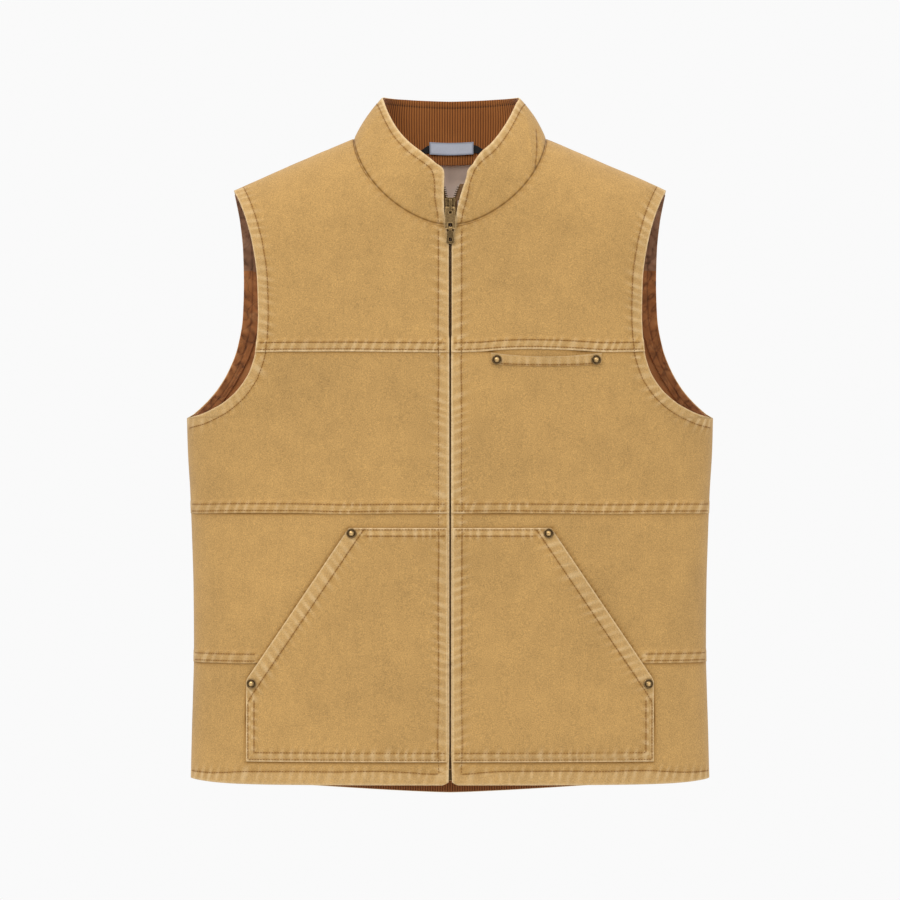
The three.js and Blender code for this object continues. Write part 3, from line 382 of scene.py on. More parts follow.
def surface(face, x, z):
    """Points of the body's outer surface and their outward directions, at places in the front view."""
    x, z = np.broadcast_arrays(np.asarray(x, float), np.asarray(z, float))
    width = half_width(z)
    depth = depth_at(face, z)
    u = np.minimum(1, np.abs(x) / width)
    v = np.clip((shoulder_line(x) - z) / SHOULDER_ROLL, 0, 1)
    oval = np.maximum(0, 1 - u**OVAL_POWER) ** (1 / OVAL_POWER)
    roll = np.sqrt(np.maximum(0, 1 - (1 - v) ** 2))
    depth_rate = depth_at(face, z + 0.5) - depth_at(face, z - 0.5)
    width_rate = half_width(z + 0.5) - half_width(z - 0.5)
    un = u ** (OVAL_POWER - 1)
    on = oval**OVAL_POWER
    slope = -FALL_RATE * x / reach(x)
    top = depth * on * (1 - v) / SHOULDER_ROLL
    gx = depth * un * roll**2 * np.sign(x) / width - top * slope
    gy = face * oval ** (OVAL_POWER - 1) * roll
    gz = -depth_rate * on * roll**2 - depth * un * roll**2 * np.abs(x) * width_rate / width**2 + top
    out = unit(np.stack([gx, gy, gz], -1))
    at = np.stack([x, face * (depth * oval * roll + GAP / 2 + 0.05), z], -1)
    return at + out * folds(FOLD_ROWS, face, x, z)[..., None], out


def flat_lengths(x, z):
    """Lengths along a line in one plane, from 0."""
    return np.concatenate([[0], np.cumsum(np.hypot(np.diff(x), np.diff(z)))])


def run_lengths(points):
    """Lengths along a row of points, from 0."""
    return np.concatenate([[0], np.cumsum(np.linalg.norm(np.diff(points, axis=0), axis=1))])


turns = np.linspace(0, math.pi / 2, 900)
oval_x = CHEST_HALF * np.sin(turns) ** (2 / OVAL_POWER)
oval_y = BACK_DEPTH * np.cos(turns) ** (2 / OVAL_POWER)
girth = flat_lengths(oval_x, oval_y)


def cloth_place(x, z):
    """Lengths round the body and down it, for weave, mottling and small creases."""
    u = np.sign(x) * np.interp(np.abs(turn_at(x / half_width(z))), turns, girth)
    drop = np.maximum(0, shoulder_line(x) - z)
    return u, z + drop - roll_arc(drop)


def drape(face, x, z):
    """Slight unevenness of washed cloth, with its small creases."""
    u, v = cloth_place(x, z)
    seed = 20 if face < 0 else 30
    uneven = 0.5 * noise_sheet(u / 52, v / 64, seed) + 0.16 * noise_sheet(u / 17, v / 20, seed + 1)
    calm = soft((half_width(z) - np.abs(x)) / 10 + 0.2)
    return uneven * calm + folds(CREASE_ROWS, face, x, z)


def front_edge(sign, z):
    share = (edge_right if sign < 0 else edge_left)((z + NECK_DROP) / HEM)
    return COLLAR_HALF * share


TIP_X = CHEST_HALF * ARMHOLE_ROWS[0][1]
ARMHOLE_TOP = float(shoulder_line(TIP_X))


def armhole(face, z):
    share = (ARMHOLE_TOP - z) / (ARMHOLE_TOP + UNDERARM)
    return CHEST_HALF * (armhole_front if face < 0 else armhole_back)(share)


def outer_edge(face, z):
    return np.where(z <= -UNDERARM, half_width(z), armhole(face, z))


def neck_place(degrees):
    turn = np.radians(degrees)
    power = 2 / NECK_POWER
    drop = np.where(degrees <= 90, NECK_DROP, BACK_NECK_DROP)
    return NECK_HALF * np.sin(turn) ** power, -drop * np.abs(np.cos(turn)) ** power


def front_hem(x):
    return -HEM + HEM_CORNER * (np.abs(x) / half_width(-HEM)) ** 10


def back_hem(x):
    width = half_width(-HEM)
    return mix(-HEM - TAIL, front_hem(width), (np.abs(x) / width) ** 1.35)


def yoke_arch(x):
    """The yoke's foot rises a little over the open chest pocket."""
    share = np.clip(1 - ((x - WELT_CENTRE + 4) / (WELT_HALF + 6)) ** 2, 0, 1)
    return 2.8 * share**1.3


def seam_sway(x, seed):
    return 0.7 * noise_line(x / 55 + 20, seed)


def seam_foot(seam, x):
    if seam == YOKE_SEAM:
        return -seam + seam_sway(x, 3) + yoke_arch(x)
    return -seam + seam_sway(x, 4 if seam == MID_SEAM else 5)


def front_lift(x, z, seams=(YOKE_SEAM, MID_SEAM, LOW_SEAM)):
    """How far the front's top cloth stands off the body: one cloth more just above each seam."""
    total = np.zeros(np.shape(x))
    for seam in seams:
        rise = z - seam_foot(seam, x)
        total = total + np.where(rise >= -0.01, LAP * (1 - soft((rise - SEAM_LAP) / LAP_RAMP)), 0)
    return total * mix(0.3, 1, soft((half_width(z) - np.abs(x)) / 9))


def pocket_edge(z):
    slant = mix(POCKET_SIDE_HALF, POCKET_TOP_HALF, (z + POCKET_CORNER) / (POCKET_CORNER - POCKET_TOP))
    return np.where(z < -POCKET_CORNER, POCKET_SIDE_HALF, slant)


MOUTH_RUN = math.hypot(POCKET_SIDE_HALF - POCKET_TOP_HALF, POCKET_CORNER - POCKET_TOP)
MOUTH_LEAN = (POCKET_CORNER - POCKET_TOP) / MOUTH_RUN


def pocket_lift(x, z):
    """The pocket is sewn down along its foot, side, head and front edge, and its mouth stands off."""
    wide = np.abs(x)
    mouth = (pocket_edge(z) - wide) * MOUTH_LEAN
    sewn = np.minimum(wide - POCKET_INNER, np.minimum(z + POCKET_BOTTOM, -POCKET_TOP - z))
    side = np.where(z < -POCKET_CORNER + 12, POCKET_SIDE_HALF - wide, 99)
    side = side + np.maximum(0, z + POCKET_CORNER) * 1.4
    free = soft(np.minimum(sewn, side) / 9)
    low = front_lift(x, z) + LAP + 0.05
    band = 0.55 * (1 - soft((mouth - POCKET_BAND + 0.8) / 1.6)) * soft((z + POCKET_CORNER + 6) / 8)
    return mix(np.minimum(low, POCKET_LIFT), POCKET_LIFT, free) + band


def top_lift(x, z):
    wide = np.abs(x)
    on_pocket = (z < -POCKET_TOP) & (z > -POCKET_BOTTOM) & (wide > POCKET_INNER) & (wide < pocket_edge(z))
    return np.where(on_pocket, pocket_lift(x, z), front_lift(x, z))


# Mesh making
def make_mesh(name, points, faces, places=None, marks=None, finish_of=None):
    """A mesh from points in millimetres. places are cloth lengths, marks are colour masks per point, for
    wear and for painted shade and highlight.
    """
    mesh = bpy.data.meshes.new(name)
    points = np.asarray(points, float).reshape(-1, 3)
    counts = np.concatenate([np.full(len(f), f.shape[1]) for f in faces])
    corners = np.concatenate([f.ravel() for f in faces])
    mesh.vertices.add(len(points))
    mesh.vertices.foreach_set("co", (points * MM).ravel())
    mesh.loops.add(len(corners))
    mesh.loops.foreach_set("vertex_index", corners.astype(np.int32))
    mesh.polygons.add(len(counts))
    mesh.polygons.foreach_set("loop_start", (np.cumsum(counts) - counts).astype(np.int32))
    if finish_of is not None:
        mesh.polygons.foreach_set("material_index", np.asarray(finish_of, np.int32))
    mesh.update(calc_edges=True)
    mesh.polygons.foreach_set("use_smooth", np.ones(len(counts), bool))
    if places is not None:
        layer = mesh.uv_layers.new(name="cloth")
        layer.data.foreach_set("uv", (np.asarray(places, float) * MM)[corners].ravel())
    if marks is not None:
        masks = mesh.color_attributes.new("marks", "FLOAT_COLOR", "POINT")
        colours = np.ones((len(points), 4))
        colours[:, :3] = marks
        masks.data.foreach_set("color", colours.ravel())
    mesh.update()
    thing = bpy.data.objects.new(name, mesh)
    bpy.context.scene.collection.objects.link(thing)
    return thing


def grid_faces(rows, columns, wrap=False):
    r = np.arange(rows - 1)[:, None]
    c = np.arange(columns if wrap else columns - 1)[None, :]
    a = r * columns + c
    b = r * columns + (c + 1) % columns
    return np.stack([a, b, b + columns, a + columns], -1).reshape(-1, 4)


def rods(name, points, rings, sides, marks=None):
    """Rods made of rings of points, closed at both ends."""
    points = np.asarray(points, float).reshape(-1, rings * sides, 3)
    base = (np.arange(len(points)) * rings * sides)[:, None, None]
    quads = grid_faces(rings, sides, wrap=True)
    caps = np.array([np.arange(sides)[::-1], np.arange(sides) + (rings - 1) * sides])
    faces = [(quads[None] + base).reshape(-1, 4), (caps[None] + base).reshape(-1, sides)]
    return make_mesh(name, points, faces, marks=marks)


def finish(thing, materials, replaced=()):
    for material in materials:
        thing.data.materials.append(material)
    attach(thing, "vest")
    if replaced:
        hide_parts(*replaced)


def spaced(length, start=0, end=0, fine=FINE, coarse=COARSE):
    """Shares of a length, closer together near its ends."""
    stops = [0, start, length - end, length]
    steps = [fine, coarse, fine]
    parts = [
        np.linspace(a, b, max(2, round((b - a) / step) + 1))[:-1]
        for a, b, step in zip(stops, stops[1:], steps)
        if b - a > 1e-6
    ]
    return np.concatenate(parts + [[length]]) / length


# Seam lines: they pucker the cloth beside them, and carry the stitches
def pucker_wave(where):
    """Uneven ripples along a seam, from about -1 to 1."""
    turn = 2 * math.pi * where / PUCKER_PITCH + 2.6 * noise_line(where / 23, 11)
    size = 0.66 + 0.34 * noise_line(where / 17 + 300, 12)
    return size * np.sin(turn) + 0.12 * noise_line(where / 3.2 + 700, 13)


class SeamLine:
    """band is the side that is folded double: 1 or -1 across the line, or 0 for both."""

    def __init__(
        self, points, outs, seed, swell=0.3, spread=6, groove=1, along=None, sewn=True, band=0, slant=0.0
    ):
        self.length = run_lengths(points)
        self.points = points
        self.outs = outs
        self.where = (self.length if along is None else along) + 91.7 * (seed % 41)
        self.beside = unit(np.cross(np.gradient(points, axis=0), outs))
        self.wave = pucker_wave(self.where)
        self.swell = swell
        self.facts = (swell, spread, groove, band, slant, BAND_FADE if sewn else 0)


def nearest(points, spots):
    """For each point, the index of the nearest spot and the distance to it."""
    tree = KDTree(len(spots))
    for i, spot in enumerate(spots):
        tree.insert(spot, i)
    tree.balance()
    found = [tree.find(point)[1:] for point in points]
    index = np.fromiter((place for place, _ in found), int, len(points))
    return index, np.fromiter((away for _, away in found), float, len(points))


def seam_marks(points, lines):
    """Height, painted shade in the groove, pucker and fading of the cloth at each point, from the nearest
    seam line.
    """
    spots = np.concatenate([line.points for line in lines])
    index, away = nearest(points, spots)
    facts = np.concatenate([np.tile(line.facts, (len(line.points), 1)) for line in lines])[index]
    swell, spread, groove, band, slant, fade = facts.T
    beside = np.concatenate([line.beside for line in lines])[index]
    side = np.sum((points - spots[index]) * beside, -1)
    wave = pucker_wave(np.concatenate([line.where for line in lines])[index] + slant * side)
    single = side * band < 0
    near = np.exp(-((away / np.where(single, 0.55 * spread, spread)) ** 2))
    near = near * np.where(single, 1 - 0.35 * soft(away / 2), 1)
    # cut darkens the seam's ditch with painted shade; halo is a wider darkening beside it, partly the less
    # faded cloth by the seam and partly painted shade.
    cut = groove * np.exp(-((away / 0.9) ** 2))
    halo = 0.16 * groove * np.exp(-((away / 4.2) ** 2))
    doubled = np.where(band == 0, 1 - soft((away - 2.5) / 1.5), 1 - soft((away - 12.5) / 2)) * ~single
    height = swell * wave * near - 0.26 * cut
    pucker = wave * near * np.minimum(1, swell / 0.22)
    return height, cut + halo, pucker, fade * doubled * soft((away - 0.3) / 1.4)


def edge_marks(points, lines, width=1.5):
    """1 on a folded edge, falling to 0 a little way from it."""
    if not lines:
        return np.zeros(len(points))
    _, away = nearest(points, np.concatenate(lines))
    return np.exp(-((away / width) ** 2))


RIM_TURNS = np.radians([30, 60, 90, 120, 150])


def ring_of(rows, columns):
    """Indices round the border of a grid, in order."""
    index = np.arange(rows * columns).reshape(rows, columns)
    return np.concatenate([index[0, :-1], index[:-1, -1], index[-1, :0:-1], index[:0:-1, 0]])


def cloth(name, at, out, lift, thick, places, lines=(), edges=(), extra=None, reverse=None, wear_width=1.5):
    """A closed sheet with rounded edges. at and out are grids of points and directions."""
    rows, columns = at.shape[:2]
    lift = np.broadcast_to(lift, (rows, columns))[..., None]
    thick = np.broadcast_to(thick, (rows, columns))[..., None]
    side = np.zeros_like(at)
    side[0] += unit(at[0] - at[1])
    side[-1] += unit(at[-1] - at[-2])
    side[:, 0] += unit(at[:, 0] - at[:, 1])
    side[:, -1] += unit(at[:, -1] - at[:, -2])
    side -= out * np.sum(side * out, -1, keepdims=True)
    side = unit(side)
    base = at - side * thick / 2
    outer = (base + out * lift).reshape(-1, 3)
    inner = (base + out * (lift - thick)).reshape(-1, 3)
    if reverse is not None:
        inner = inner + out.reshape(-1, 3) * reverse.reshape(-1, 1)
    marks = np.zeros((len(outer), 3))
    marks[:, 2] = 0.5
    if lines:
        height, cut, pucker, faded = seam_marks(outer, lines)
        outer = outer + out.reshape(-1, 3) * height[:, None]
        marks[:, 0] = faded
        # The second mask is painted shade in grooves, the third the pucker's wear and its painted light and
        # shade.
        marks[:, 1] = cut
        marks[:, 2] = 0.5 + 0.5 * np.clip(pucker, -1, 1)
    if extra is not None:
        marks = np.clip(marks + extra.reshape(-1, 3), 0, 1)
    marks[:, 0] = np.maximum(marks[:, 0], edge_marks(outer, edges, wear_width))
    ring = ring_of(rows, columns)
    half = thick.reshape(-1, 1)[ring] / 2
    middle = (outer[ring] + inner[ring]) / 2
    outs = out.reshape(-1, 3)[ring]
    sides = side.reshape(-1, 3)[ring]
    rims = [middle + outs * half * math.cos(a) + sides * half * math.sin(a) for a in RIM_TURNS]
    count = len(outer)
    points = np.concatenate([outer, inner, *rims])
    quads = grid_faces(rows, columns)
    between = 2 * count + np.arange(len(rims) * len(ring)).reshape(len(rims), -1)
    loops = [ring, *between, ring + count]
    bands = []
    for low, high in zip(loops, loops[1:]):
        bands.append(np.stack([low, high, np.roll(high, -1), np.roll(low, -1)], -1))
    bands = np.concatenate(bands)
    turned = np.sum(np.cross(at[1, 1] - at[0, 0], at[1, 0] - at[0, 1]) * out[0, 0]) > 0
    if turned:
        faces = np.concatenate([quads, quads[:, ::-1] + count, bands])
    else:
        faces = np.concatenate([quads[:, ::-1], quads + count, bands[:, ::-1]])
    finish_of = np.concatenate([np.zeros(len(quads)), np.ones(len(quads)), np.zeros(len(bands))])
    flat = np.asarray(places, float).reshape(-1, 2)
    all_places = np.concatenate([flat, flat] + [flat[ring]] * len(rims))
    rim_marks = marks[ring]
    all_marks = np.concatenate([marks, np.tile([0, 0, 0.5], (count, 1))] + [rim_marks] * len(rims))
    thing = make_mesh(name, points, [faces], all_places, all_marks, finish_of)
    thing["cut"] = [float(size) for size in sheet_size(at)]
    return thing


def sheet_size(at):
    """Width, length and area of the cut sheet, in metres."""
    width = np.linalg.norm(np.diff(at, axis=1), axis=-1).sum(1).max() * MM
    length = np.linalg.norm(np.diff(at, axis=0), axis=-1).sum(0).max() * MM
    diagonal = at[1:, 1:] - at[:-1, :-1]
    other = at[1:, :-1] - at[:-1, 1:]
    area = 0.5 * np.linalg.norm(np.cross(diagonal, other), axis=-1).sum() * MM * MM
    return width, length, area


def finish_sheet(thing, slot, materials, node, *rests_on, held="hung"):
    """Finishes a cloth with its materials, hangs it on the vest and hides the part that it replaces. slot,
    rests_on and held are not used.
    """
    finish(thing, materials, [node])
    width, length, area = thing["cut"]
    del thing["cut"]
    area = min(area, width * length)
    length = min(length, area / (0.31 * width))


def mark_grid(groove, pucker=0, wear=0):
    """Masks that a sheet has beside those of its seams."""
    return np.stack(np.broadcast_arrays(wear, groove, pucker), -1)


def body_line(face, x, z, seed, lift_of=top_lift, **facts):
    """A seam line over the body, lying on its top cloth."""
    at, out = surface(face, x, z)
    lift = lift_of(x, z) if face < 0 else 0
    points = at + out * (lift + drape(face, x, z))[..., None]
    return SeamLine(points, out, seed, **facts)


def resampled(x, z, step=LINE_STEP):
    length = flat_lengths(x, z)
    stops = np.linspace(0, length[-1], max(2, int(length[-1] / step)))
    return np.interp(stops, length, x), np.interp(stops, length, z)


def set_off(x, z, away):
    """A line beside another one in the front view."""
    dx = np.gradient(x)
    dz = np.gradient(z)
    size = np.hypot(dx, dz)
    return x + away * dz / size, z - away * dx / size


# Front panels
def ruled(start_x, start_z, end_x, end_z, shares):
    """Places along the rows from a front edge to an outer edge, evenly round the body."""
    drop_a = np.maximum(0, shoulder_line(start_x) - start_z)[:, None]
    drop_b = np.maximum(0, shoulder_line(end_x) - end_z)[:, None]
    turn = mix(
        turn_at(start_x / half_width(start_z))[:, None],
        turn_at(end_x / half_width(end_z))[:, None],
        shares,
    )
    plain_z = mix(start_z[:, None], end_z[:, None], shares)
    plain_x = half_width(plain_z) * across(turn)
    rolled_x = CHEST_HALF * across(turn)
    rolled_z = shoulder_line(rolled_x) - roll_drop(mix(roll_arc(drop_a), roll_arc(drop_b), shares))
    rolled = soft((SHOULDER_ROLL + 60 - np.minimum(drop_a, drop_b)) / 60)
    return mix(plain_x, rolled_x, rolled), mix(plain_z, rolled_z, rolled)


def level_rows(sign, z):
    return front_edge(sign, z) - SLIT_TRIM, z, outer_edge(-1, z), z


def stops(low, high, start=0, end=0, coarse=COARSE):
    return low + (high - low) * spaced(high - low, start, end, coarse=coarse)


FRONT_SHARES = spaced(FRONT_RUN, 16, 14)
# place along the front edge and then round the neck in millimetres, share down the armhole
YOKE_ROWS = [
    (-118, 1),
    (-80.2, 0.854),
    (-40.1, 0.715),
    (0, 0.582),
    (22.4, 0.456),
    (44.8, 0.335),
    (65.6, 0.234),
    (86.4, 0.146),
    (107.2, 0.076),
    (126.4, 0.025),
    (YOKE_RUN, 0),
]
yoke_tip = curve(YOKE_ROWS, 1)


def yoke_places(sign):
    run = stops(-118, YOKE_RUN, 0, 5)[1:]
    foot = -YOKE_SEAM + SEAM_LAP + LAP_RAMP
    lap_z = stops(-YOKE_SEAM, foot, LAP_RAMP + SEAM_LAP - 1, 0)
    degrees = np.clip(run / 1.6, 0, 90)
    neck_x, neck_z = neck_place(degrees)
    start_z = np.where(run <= 0, run - NECK_DROP, neck_z)
    start_z = np.where(run >= YOKE_RUN, 0, start_z)
    start_x = np.where(run <= 0, front_edge(sign, start_z), np.maximum(neck_x, front_edge(sign, start_z)))
    start_x = np.where(start_z > -60, neck_x, start_x)
    end_z = mix(ARMHOLE_TOP, foot, yoke_tip(run))
    end_x = np.where(run >= YOKE_RUN, TIP_X, armhole(-1, end_z))
    lap_start, lap_rows, lap_end, _ = level_rows(sign, lap_z)
    x, z = ruled(
        np.concatenate([lap_start, start_x]),
        np.concatenate([lap_rows, start_z]),
        np.concatenate([lap_end, end_x]),
        np.concatenate([lap_rows, end_z]),
        FRONT_SHARES,
    )
    return x, bent_foot(sign, x, z, YOKE_SEAM)


def bent_foot(sign, x, z, seam):
    """Moves the rows near a seam so that the lowest one follows its swaying foot."""
    near = 1 - soft((z + seam - SEAM_LAP) / 20)
    return z + near * (seam_foot(seam, sign * x) + seam) * (z < -seam + 32)


def front_panel(part, word, x, z, foot, lines, edge_lines, rests_on, hem=False):
    sign = SIDES[word]
    wide = sign * x
    at, out = surface(-1, wide, z)
    u, v = cloth_place(wide, z)
    lift = front_lift(wide, z, foot) + drape(-1, wide, z)
    fold = np.minimum(x - front_edge(sign, z), 99)
    folded = 1 - soft((fold - FRONT_ROW) / 2)
    if hem:
        folded = np.maximum(folded, 1 - soft((z + HEM - HEM_ROW) / 2))
    thick = mix(CANVAS, FOLDED - 0.3, folded)
    puff = 0.9 * quilt(u, v)
    places = np.stack([u, v], -1)
    made = cloth(f"{part}_{word}", at, out, lift, thick, places, lines, edge_lines, reverse=-puff)
    finish_sheet(made, "canvas", [canvas, rust], f"front_{part}_{word}", f"front_{rests_on}_{word}")


def quilt(u, v):
    """Puffs between diamond rows of quilting, 0 on the rows and 1 in the middle of a puff."""
    a = np.abs(((u + v) / QUILT_SIZE) % 1 - 0.5) * 2
    b = np.abs(((u - v) / QUILT_SIZE) % 1 - 0.5) * 2
    return (np.clip(1 - a, 0, 1) * np.clip(1 - b, 0, 1)) ** 0.35


def on_front(sign, x, z, lift=None):
    """Points on the front's top cloth, for the worn edges."""
    wide = sign * x
    at, out = surface(-1, wide, z)
    height = (front_lift(wide, z) if lift is None else lift) + drape(-1, wide, z)
    return at + out * np.asarray(height)[..., None]


def armhole_edge(face):
    z = np.arange(-UNDERARM + 0.2, ARMHOLE_TOP, 0.5)
    return resampled(armhole(face, z), z)


def armhole_row(face):
    """Places of the stitches beside an armhole."""
    x, z = set_off(*armhole_edge(face), -ARMHOLE_ROW)
    keep = (x < half_width(z) - 0.5) & (z < shoulder_line(x) - 0.5)
    return x[keep], z[keep]


def front_lines(sign):
    """The seam lines on one front: twin rows at three seams, then front edge, hem and armhole."""
    lines = []
    seed = 0 if sign > 0 else 20
    slant = 0.4
    for k, seam in enumerate((YOKE_SEAM, MID_SEAM, LOW_SEAM)):
        reach_x = float(outer_edge(-1, np.array(-seam + 5.0))) - 1.5
        first = 5 if seam != LOW_SEAM else float(pocket_edge(-LOW_SEAM)) + 3
        for row, band in ((ROW_NEAR, 0), (ROW_FAR, sign)):
            x = np.arange(first, reach_x, LINE_STEP)
            x = x[x > pocket_edge(-LOW_SEAM + row) + 1.5] if seam == LOW_SEAM else x
            z = seam_foot(seam, sign * x) + row
            facts = {"swell": 0.25, "spread": 6.5, "along": x - sign * slant * row, "slant": slant}
            lines.append(body_line(-1, sign * x, z, seed + k, band=band, **facts))
    z = np.arange(-HEM + HEM_ROW, -NECK_DROP - 2, LINE_STEP)
    x = FRONT_ROW + 0.5 * noise_line(z / 40 + 30, seed + 8)
    lines.append(body_line(-1, sign * x, z, seed + 4, swell=0.3, spread=12, band=-sign, slant=-0.35 * sign))
    x = np.arange(FRONT_ROW, half_width(-HEM) - 1, LINE_STEP)
    dip = 2.6 * np.exp(-(((x - 14) / 25) ** 2)) + 2.2 * np.exp(-(((x - 252) / 26) ** 2))
    z = -FRONT_HEM_ROW - dip + 0.5 * noise_line(x / 40 + 70, seed + 12)
    lines.append(body_line(-1, sign * x, z, seed + 5, swell=0.34, spread=12, band=sign, slant=0.3))
    x, z = armhole_row(-1)
    lines.append(body_line(-1, sign * x, z, seed + 6, swell=0.24, spread=12, band=sign, slant=0.3))
    return lines


def shade_line(x, z):
    """A narrow painted shadow line where one cloth lies over another."""
    return body_line(-1, x, z, 0, lift_of=front_lift, swell=0, spread=3, groove=1.25, sewn=False)


# A painted shadow line on the cloth just under a seam's folded edge.
def under_seam(seam, sign):
    first = 3 if seam != LOW_SEAM else float(pocket_edge(-LOW_SEAM)) + 2
    x = np.arange(first, float(outer_edge(-1, np.array(-seam - 1.0))) - 1, LINE_STEP)
    return shade_line(sign * x, seam_foot(seam, sign * x) - 0.7)


def beside_pocket(sign):
    """Painted shadow lines on the front along the pocket's mouth, side, head and foot."""
    corner_x = POCKET_SIDE_HALF + 0.9
    x = [4, POCKET_TOP_HALF + 0.4, corner_x, corner_x, 4]
    head = -POCKET_TOP + 0.8
    foot = -POCKET_BOTTOM - 0.8
    z = [head, head, -POCKET_CORNER + 0.4, foot, foot]
    x, z = resampled(np.array(x), np.array(z))
    return shade_line(sign * x, z)


# The front neck seam's ditch, darkened with painted shade.
def neck_line(sign):
    x, z = neck_place(np.linspace(4, 89.5, 260))
    at, out = surface(-1, sign * x, z)
    points = at + out * drape(-1, sign * x, z)[..., None]
    return SeamLine(points, out, 30, swell=0.07, spread=7, groove=1.8, sewn=False)


# Pockets
def pocket_lines(sign):
    seed = 7 if sign > 0 else 27
    lines = []

    def sewn(x, z, number, **facts):
        x, z = resampled(np.asarray(x, float), np.asarray(z, float))
        lines.append(body_line(-1, sign * x, z, seed + number, lift_of=pocket_lift, **facts))

    head = POCKET_TOP_HALF - 4
    lean_x = (POCKET_SIDE_HALF - POCKET_TOP_HALF) / (POCKET_CORNER - POCKET_TOP)
    inner = POCKET_BAND / MOUTH_LEAN
    sewn([5, head - 4], [-POCKET_TOP - 1.9, -POCKET_TOP - 1.9], 1, swell=0.24, spread=4)
    sewn([5, head - 12], [-POCKET_TOP - 8.6, -POCKET_TOP - 8.6], 1, swell=0.24, spread=8, band=-sign)
    foot = -POCKET_CORNER - 20
    top_x = POCKET_TOP_HALF - inner + lean_x * 1.2
    low_x = POCKET_SIDE_HALF - 1.5
    low_z = -POCKET_TOP - (low_x - POCKET_TOP_HALF + inner) / lean_x
    sewn([top_x, low_x], [-POCKET_TOP - 1.2, low_z], 2, swell=0.26, spread=14, band=-sign, slant=0.3)
    sewn([POCKET_SIDE_HALF - 2] * 2, [low_z - 1, -POCKET_BOTTOM + 2.2], 3, swell=0.16, spread=4)
    inside = POCKET_SIDE_HALF - 9
    inside_top = -POCKET_TOP - (inside - POCKET_TOP_HALF + inner) / lean_x - 2
    upright = [min(inside_top, foot), -POCKET_BOTTOM + 9.6]
    sewn([inside] * 2, upright, 4, swell=0.26, spread=8, band=-sign, slant=0.3)
    sewn([5, POCKET_SIDE_HALF - 2], [-POCKET_BOTTOM + 2.2] * 2, 5, swell=0.2, spread=4)
    sewn([5, inside], [-POCKET_BOTTOM + 9.6] * 2, 5, swell=0.27, spread=8, band=sign, slant=0.3)
    return lines


def pocket(name, sign, front_row):
    z = stops(-POCKET_BOTTOM, -POCKET_TOP, 12, 11, coarse=POCKET_STEP)
    shares = spaced(POCKET_RUN, 14, 17, coarse=POCKET_STEP)
    end = pocket_edge(z)
    turn = mix(turn_at(POCKET_INNER / half_width(z))[:, None], turn_at(end / half_width(z))[:, None], shares)
    x = half_width(z)[:, None] * across(turn)
    rows = np.broadcast_to(z[:, None], x.shape)
    wide = sign * x
    at, out = surface(-1, wide, rows)
    u, v = cloth_place(wide, rows)
    sag = 0.5 * noise_sheet(u / 44 + 5, v / 50 + 3, 44)
    sag = sag * soft((x - 20) / 30) * soft((end[:, None] - x) / 40)
    lift = pocket_lift(wide, rows) + drape(-1, wide, rows) + sag
    border = [
        np.stack([np.full_like(z, POCKET_INNER), z], -1),
        np.stack([end, z], -1),
        np.stack([np.linspace(POCKET_INNER, POCKET_TOP_HALF, 160), np.full(160, -POCKET_TOP)], -1),
        np.stack([np.linspace(POCKET_INNER, POCKET_SIDE_HALF, 320), np.full(320, -POCKET_BOTTOM)], -1),
    ]
    edges = []
    for line in border:
        line_x, line_z = resampled(line[:, 0], line[:, 1])
        edges.append(on_front(sign, line_x, line_z, pocket_lift(line_x, line_z) - 0.4))
    lines = pocket_lines(sign)
    made = cloth(name, at, out, lift, CANVAS, np.stack([u, v], -1), lines + [front_row], edges)
    return made, lines


# Collar
NECK_END_SPAN = 6


def neck_seam(sign, degrees):
    """Points where the collar grows from the neck seam."""
    degrees = np.asarray(degrees, float)
    x, z = neck_place(degrees)
    x = np.where(degrees < 12, np.maximum(x, front_edge(sign, z)), x)
    front_at, front_out = surface(-1, sign * x, z)
    back_at, back_out = surface(1, sign * x, z)
    on_face = (degrees <= 90)[..., None]
    at = np.where(on_face, front_at, back_at)
    out = np.where(on_face, front_out, back_out)
    at[..., 1] *= soft(np.abs(degrees - 90) / 2.5)
    toward = np.array([0, -6, 12]) - at
    toward = toward - out * np.sum(toward * out, -1, keepdims=True)
    ends = soft(np.minimum(degrees, 180 - degrees) / NECK_END_SPAN)
    toward[..., 0] *= ends
    return at + unit(toward) * (GAP + 0.15)


COLLAR_FRONT = float(abs(surface(-1, 0, -NECK_DROP)[0][1]) + COLLAR_FRONT_LEAN)
COLLAR_BACK = float(surface(1, 0, -BACK_NECK_DROP)[0][1] + COLLAR_BACK_LEAN)


def collar_rim(sign, degrees):
    half = (rim_right if sign < 0 else rim_left)(degrees)
    depth = rim_depth(degrees)
    y = np.where(depth < 0, depth * COLLAR_FRONT, depth * COLLAR_BACK)
    return np.stack([sign * COLLAR_HALF * half, y, COLLAR_RISE * rim_height(degrees)], -1)


def collar_place(sign, degrees, share):
    spot = mix(neck_seam(sign, degrees), collar_rim(sign, degrees), share[..., None])
    edge = sign * front_edge(sign, spot[..., 2])
    near = np.where(degrees > 0, soft(degrees / 14), 0)
    spot[..., 0] = np.where(degrees < 14, mix(edge, spot[..., 0], near), spot[..., 0])
    return spot


# angle, share up the collar, turn in degrees, length along, width across, height; + is the photo's right
COLLAR_CREASES = [
    (1, 10, 0.5, 62, 14, 2.4, 1.3),
    (1, 15, 0.42, 66, 14, 2.2, -0.9),
    (1, 21, 0.5, 52, 20, 3, 1.1),
    (1, 66, 0.22, 52, 24, 2.6, 1.5),
    (1, 76, 0.14, 52, 20, 2.2, -1.0),
    (1, 60, 0.6, 82, 22, 4, 0.8),
    (1, 40, 0.5, 25, 26, 5, 0.9),
    (1, 50, 0.3, -30, 24, 5, 0.8),
    (-1, 12, 0.6, 75, 14, 2.4, 1.0),
    (-1, 18, 0.4, 60, 14, 2.6, -0.7),
    (-1, 40, 0.45, -35, 26, 5, 0.9),
    (-1, 62, 0.5, -80, 22, 4, 0.9),
    (-1, 74, 0.35, -75, 22, 4, -0.8),
]


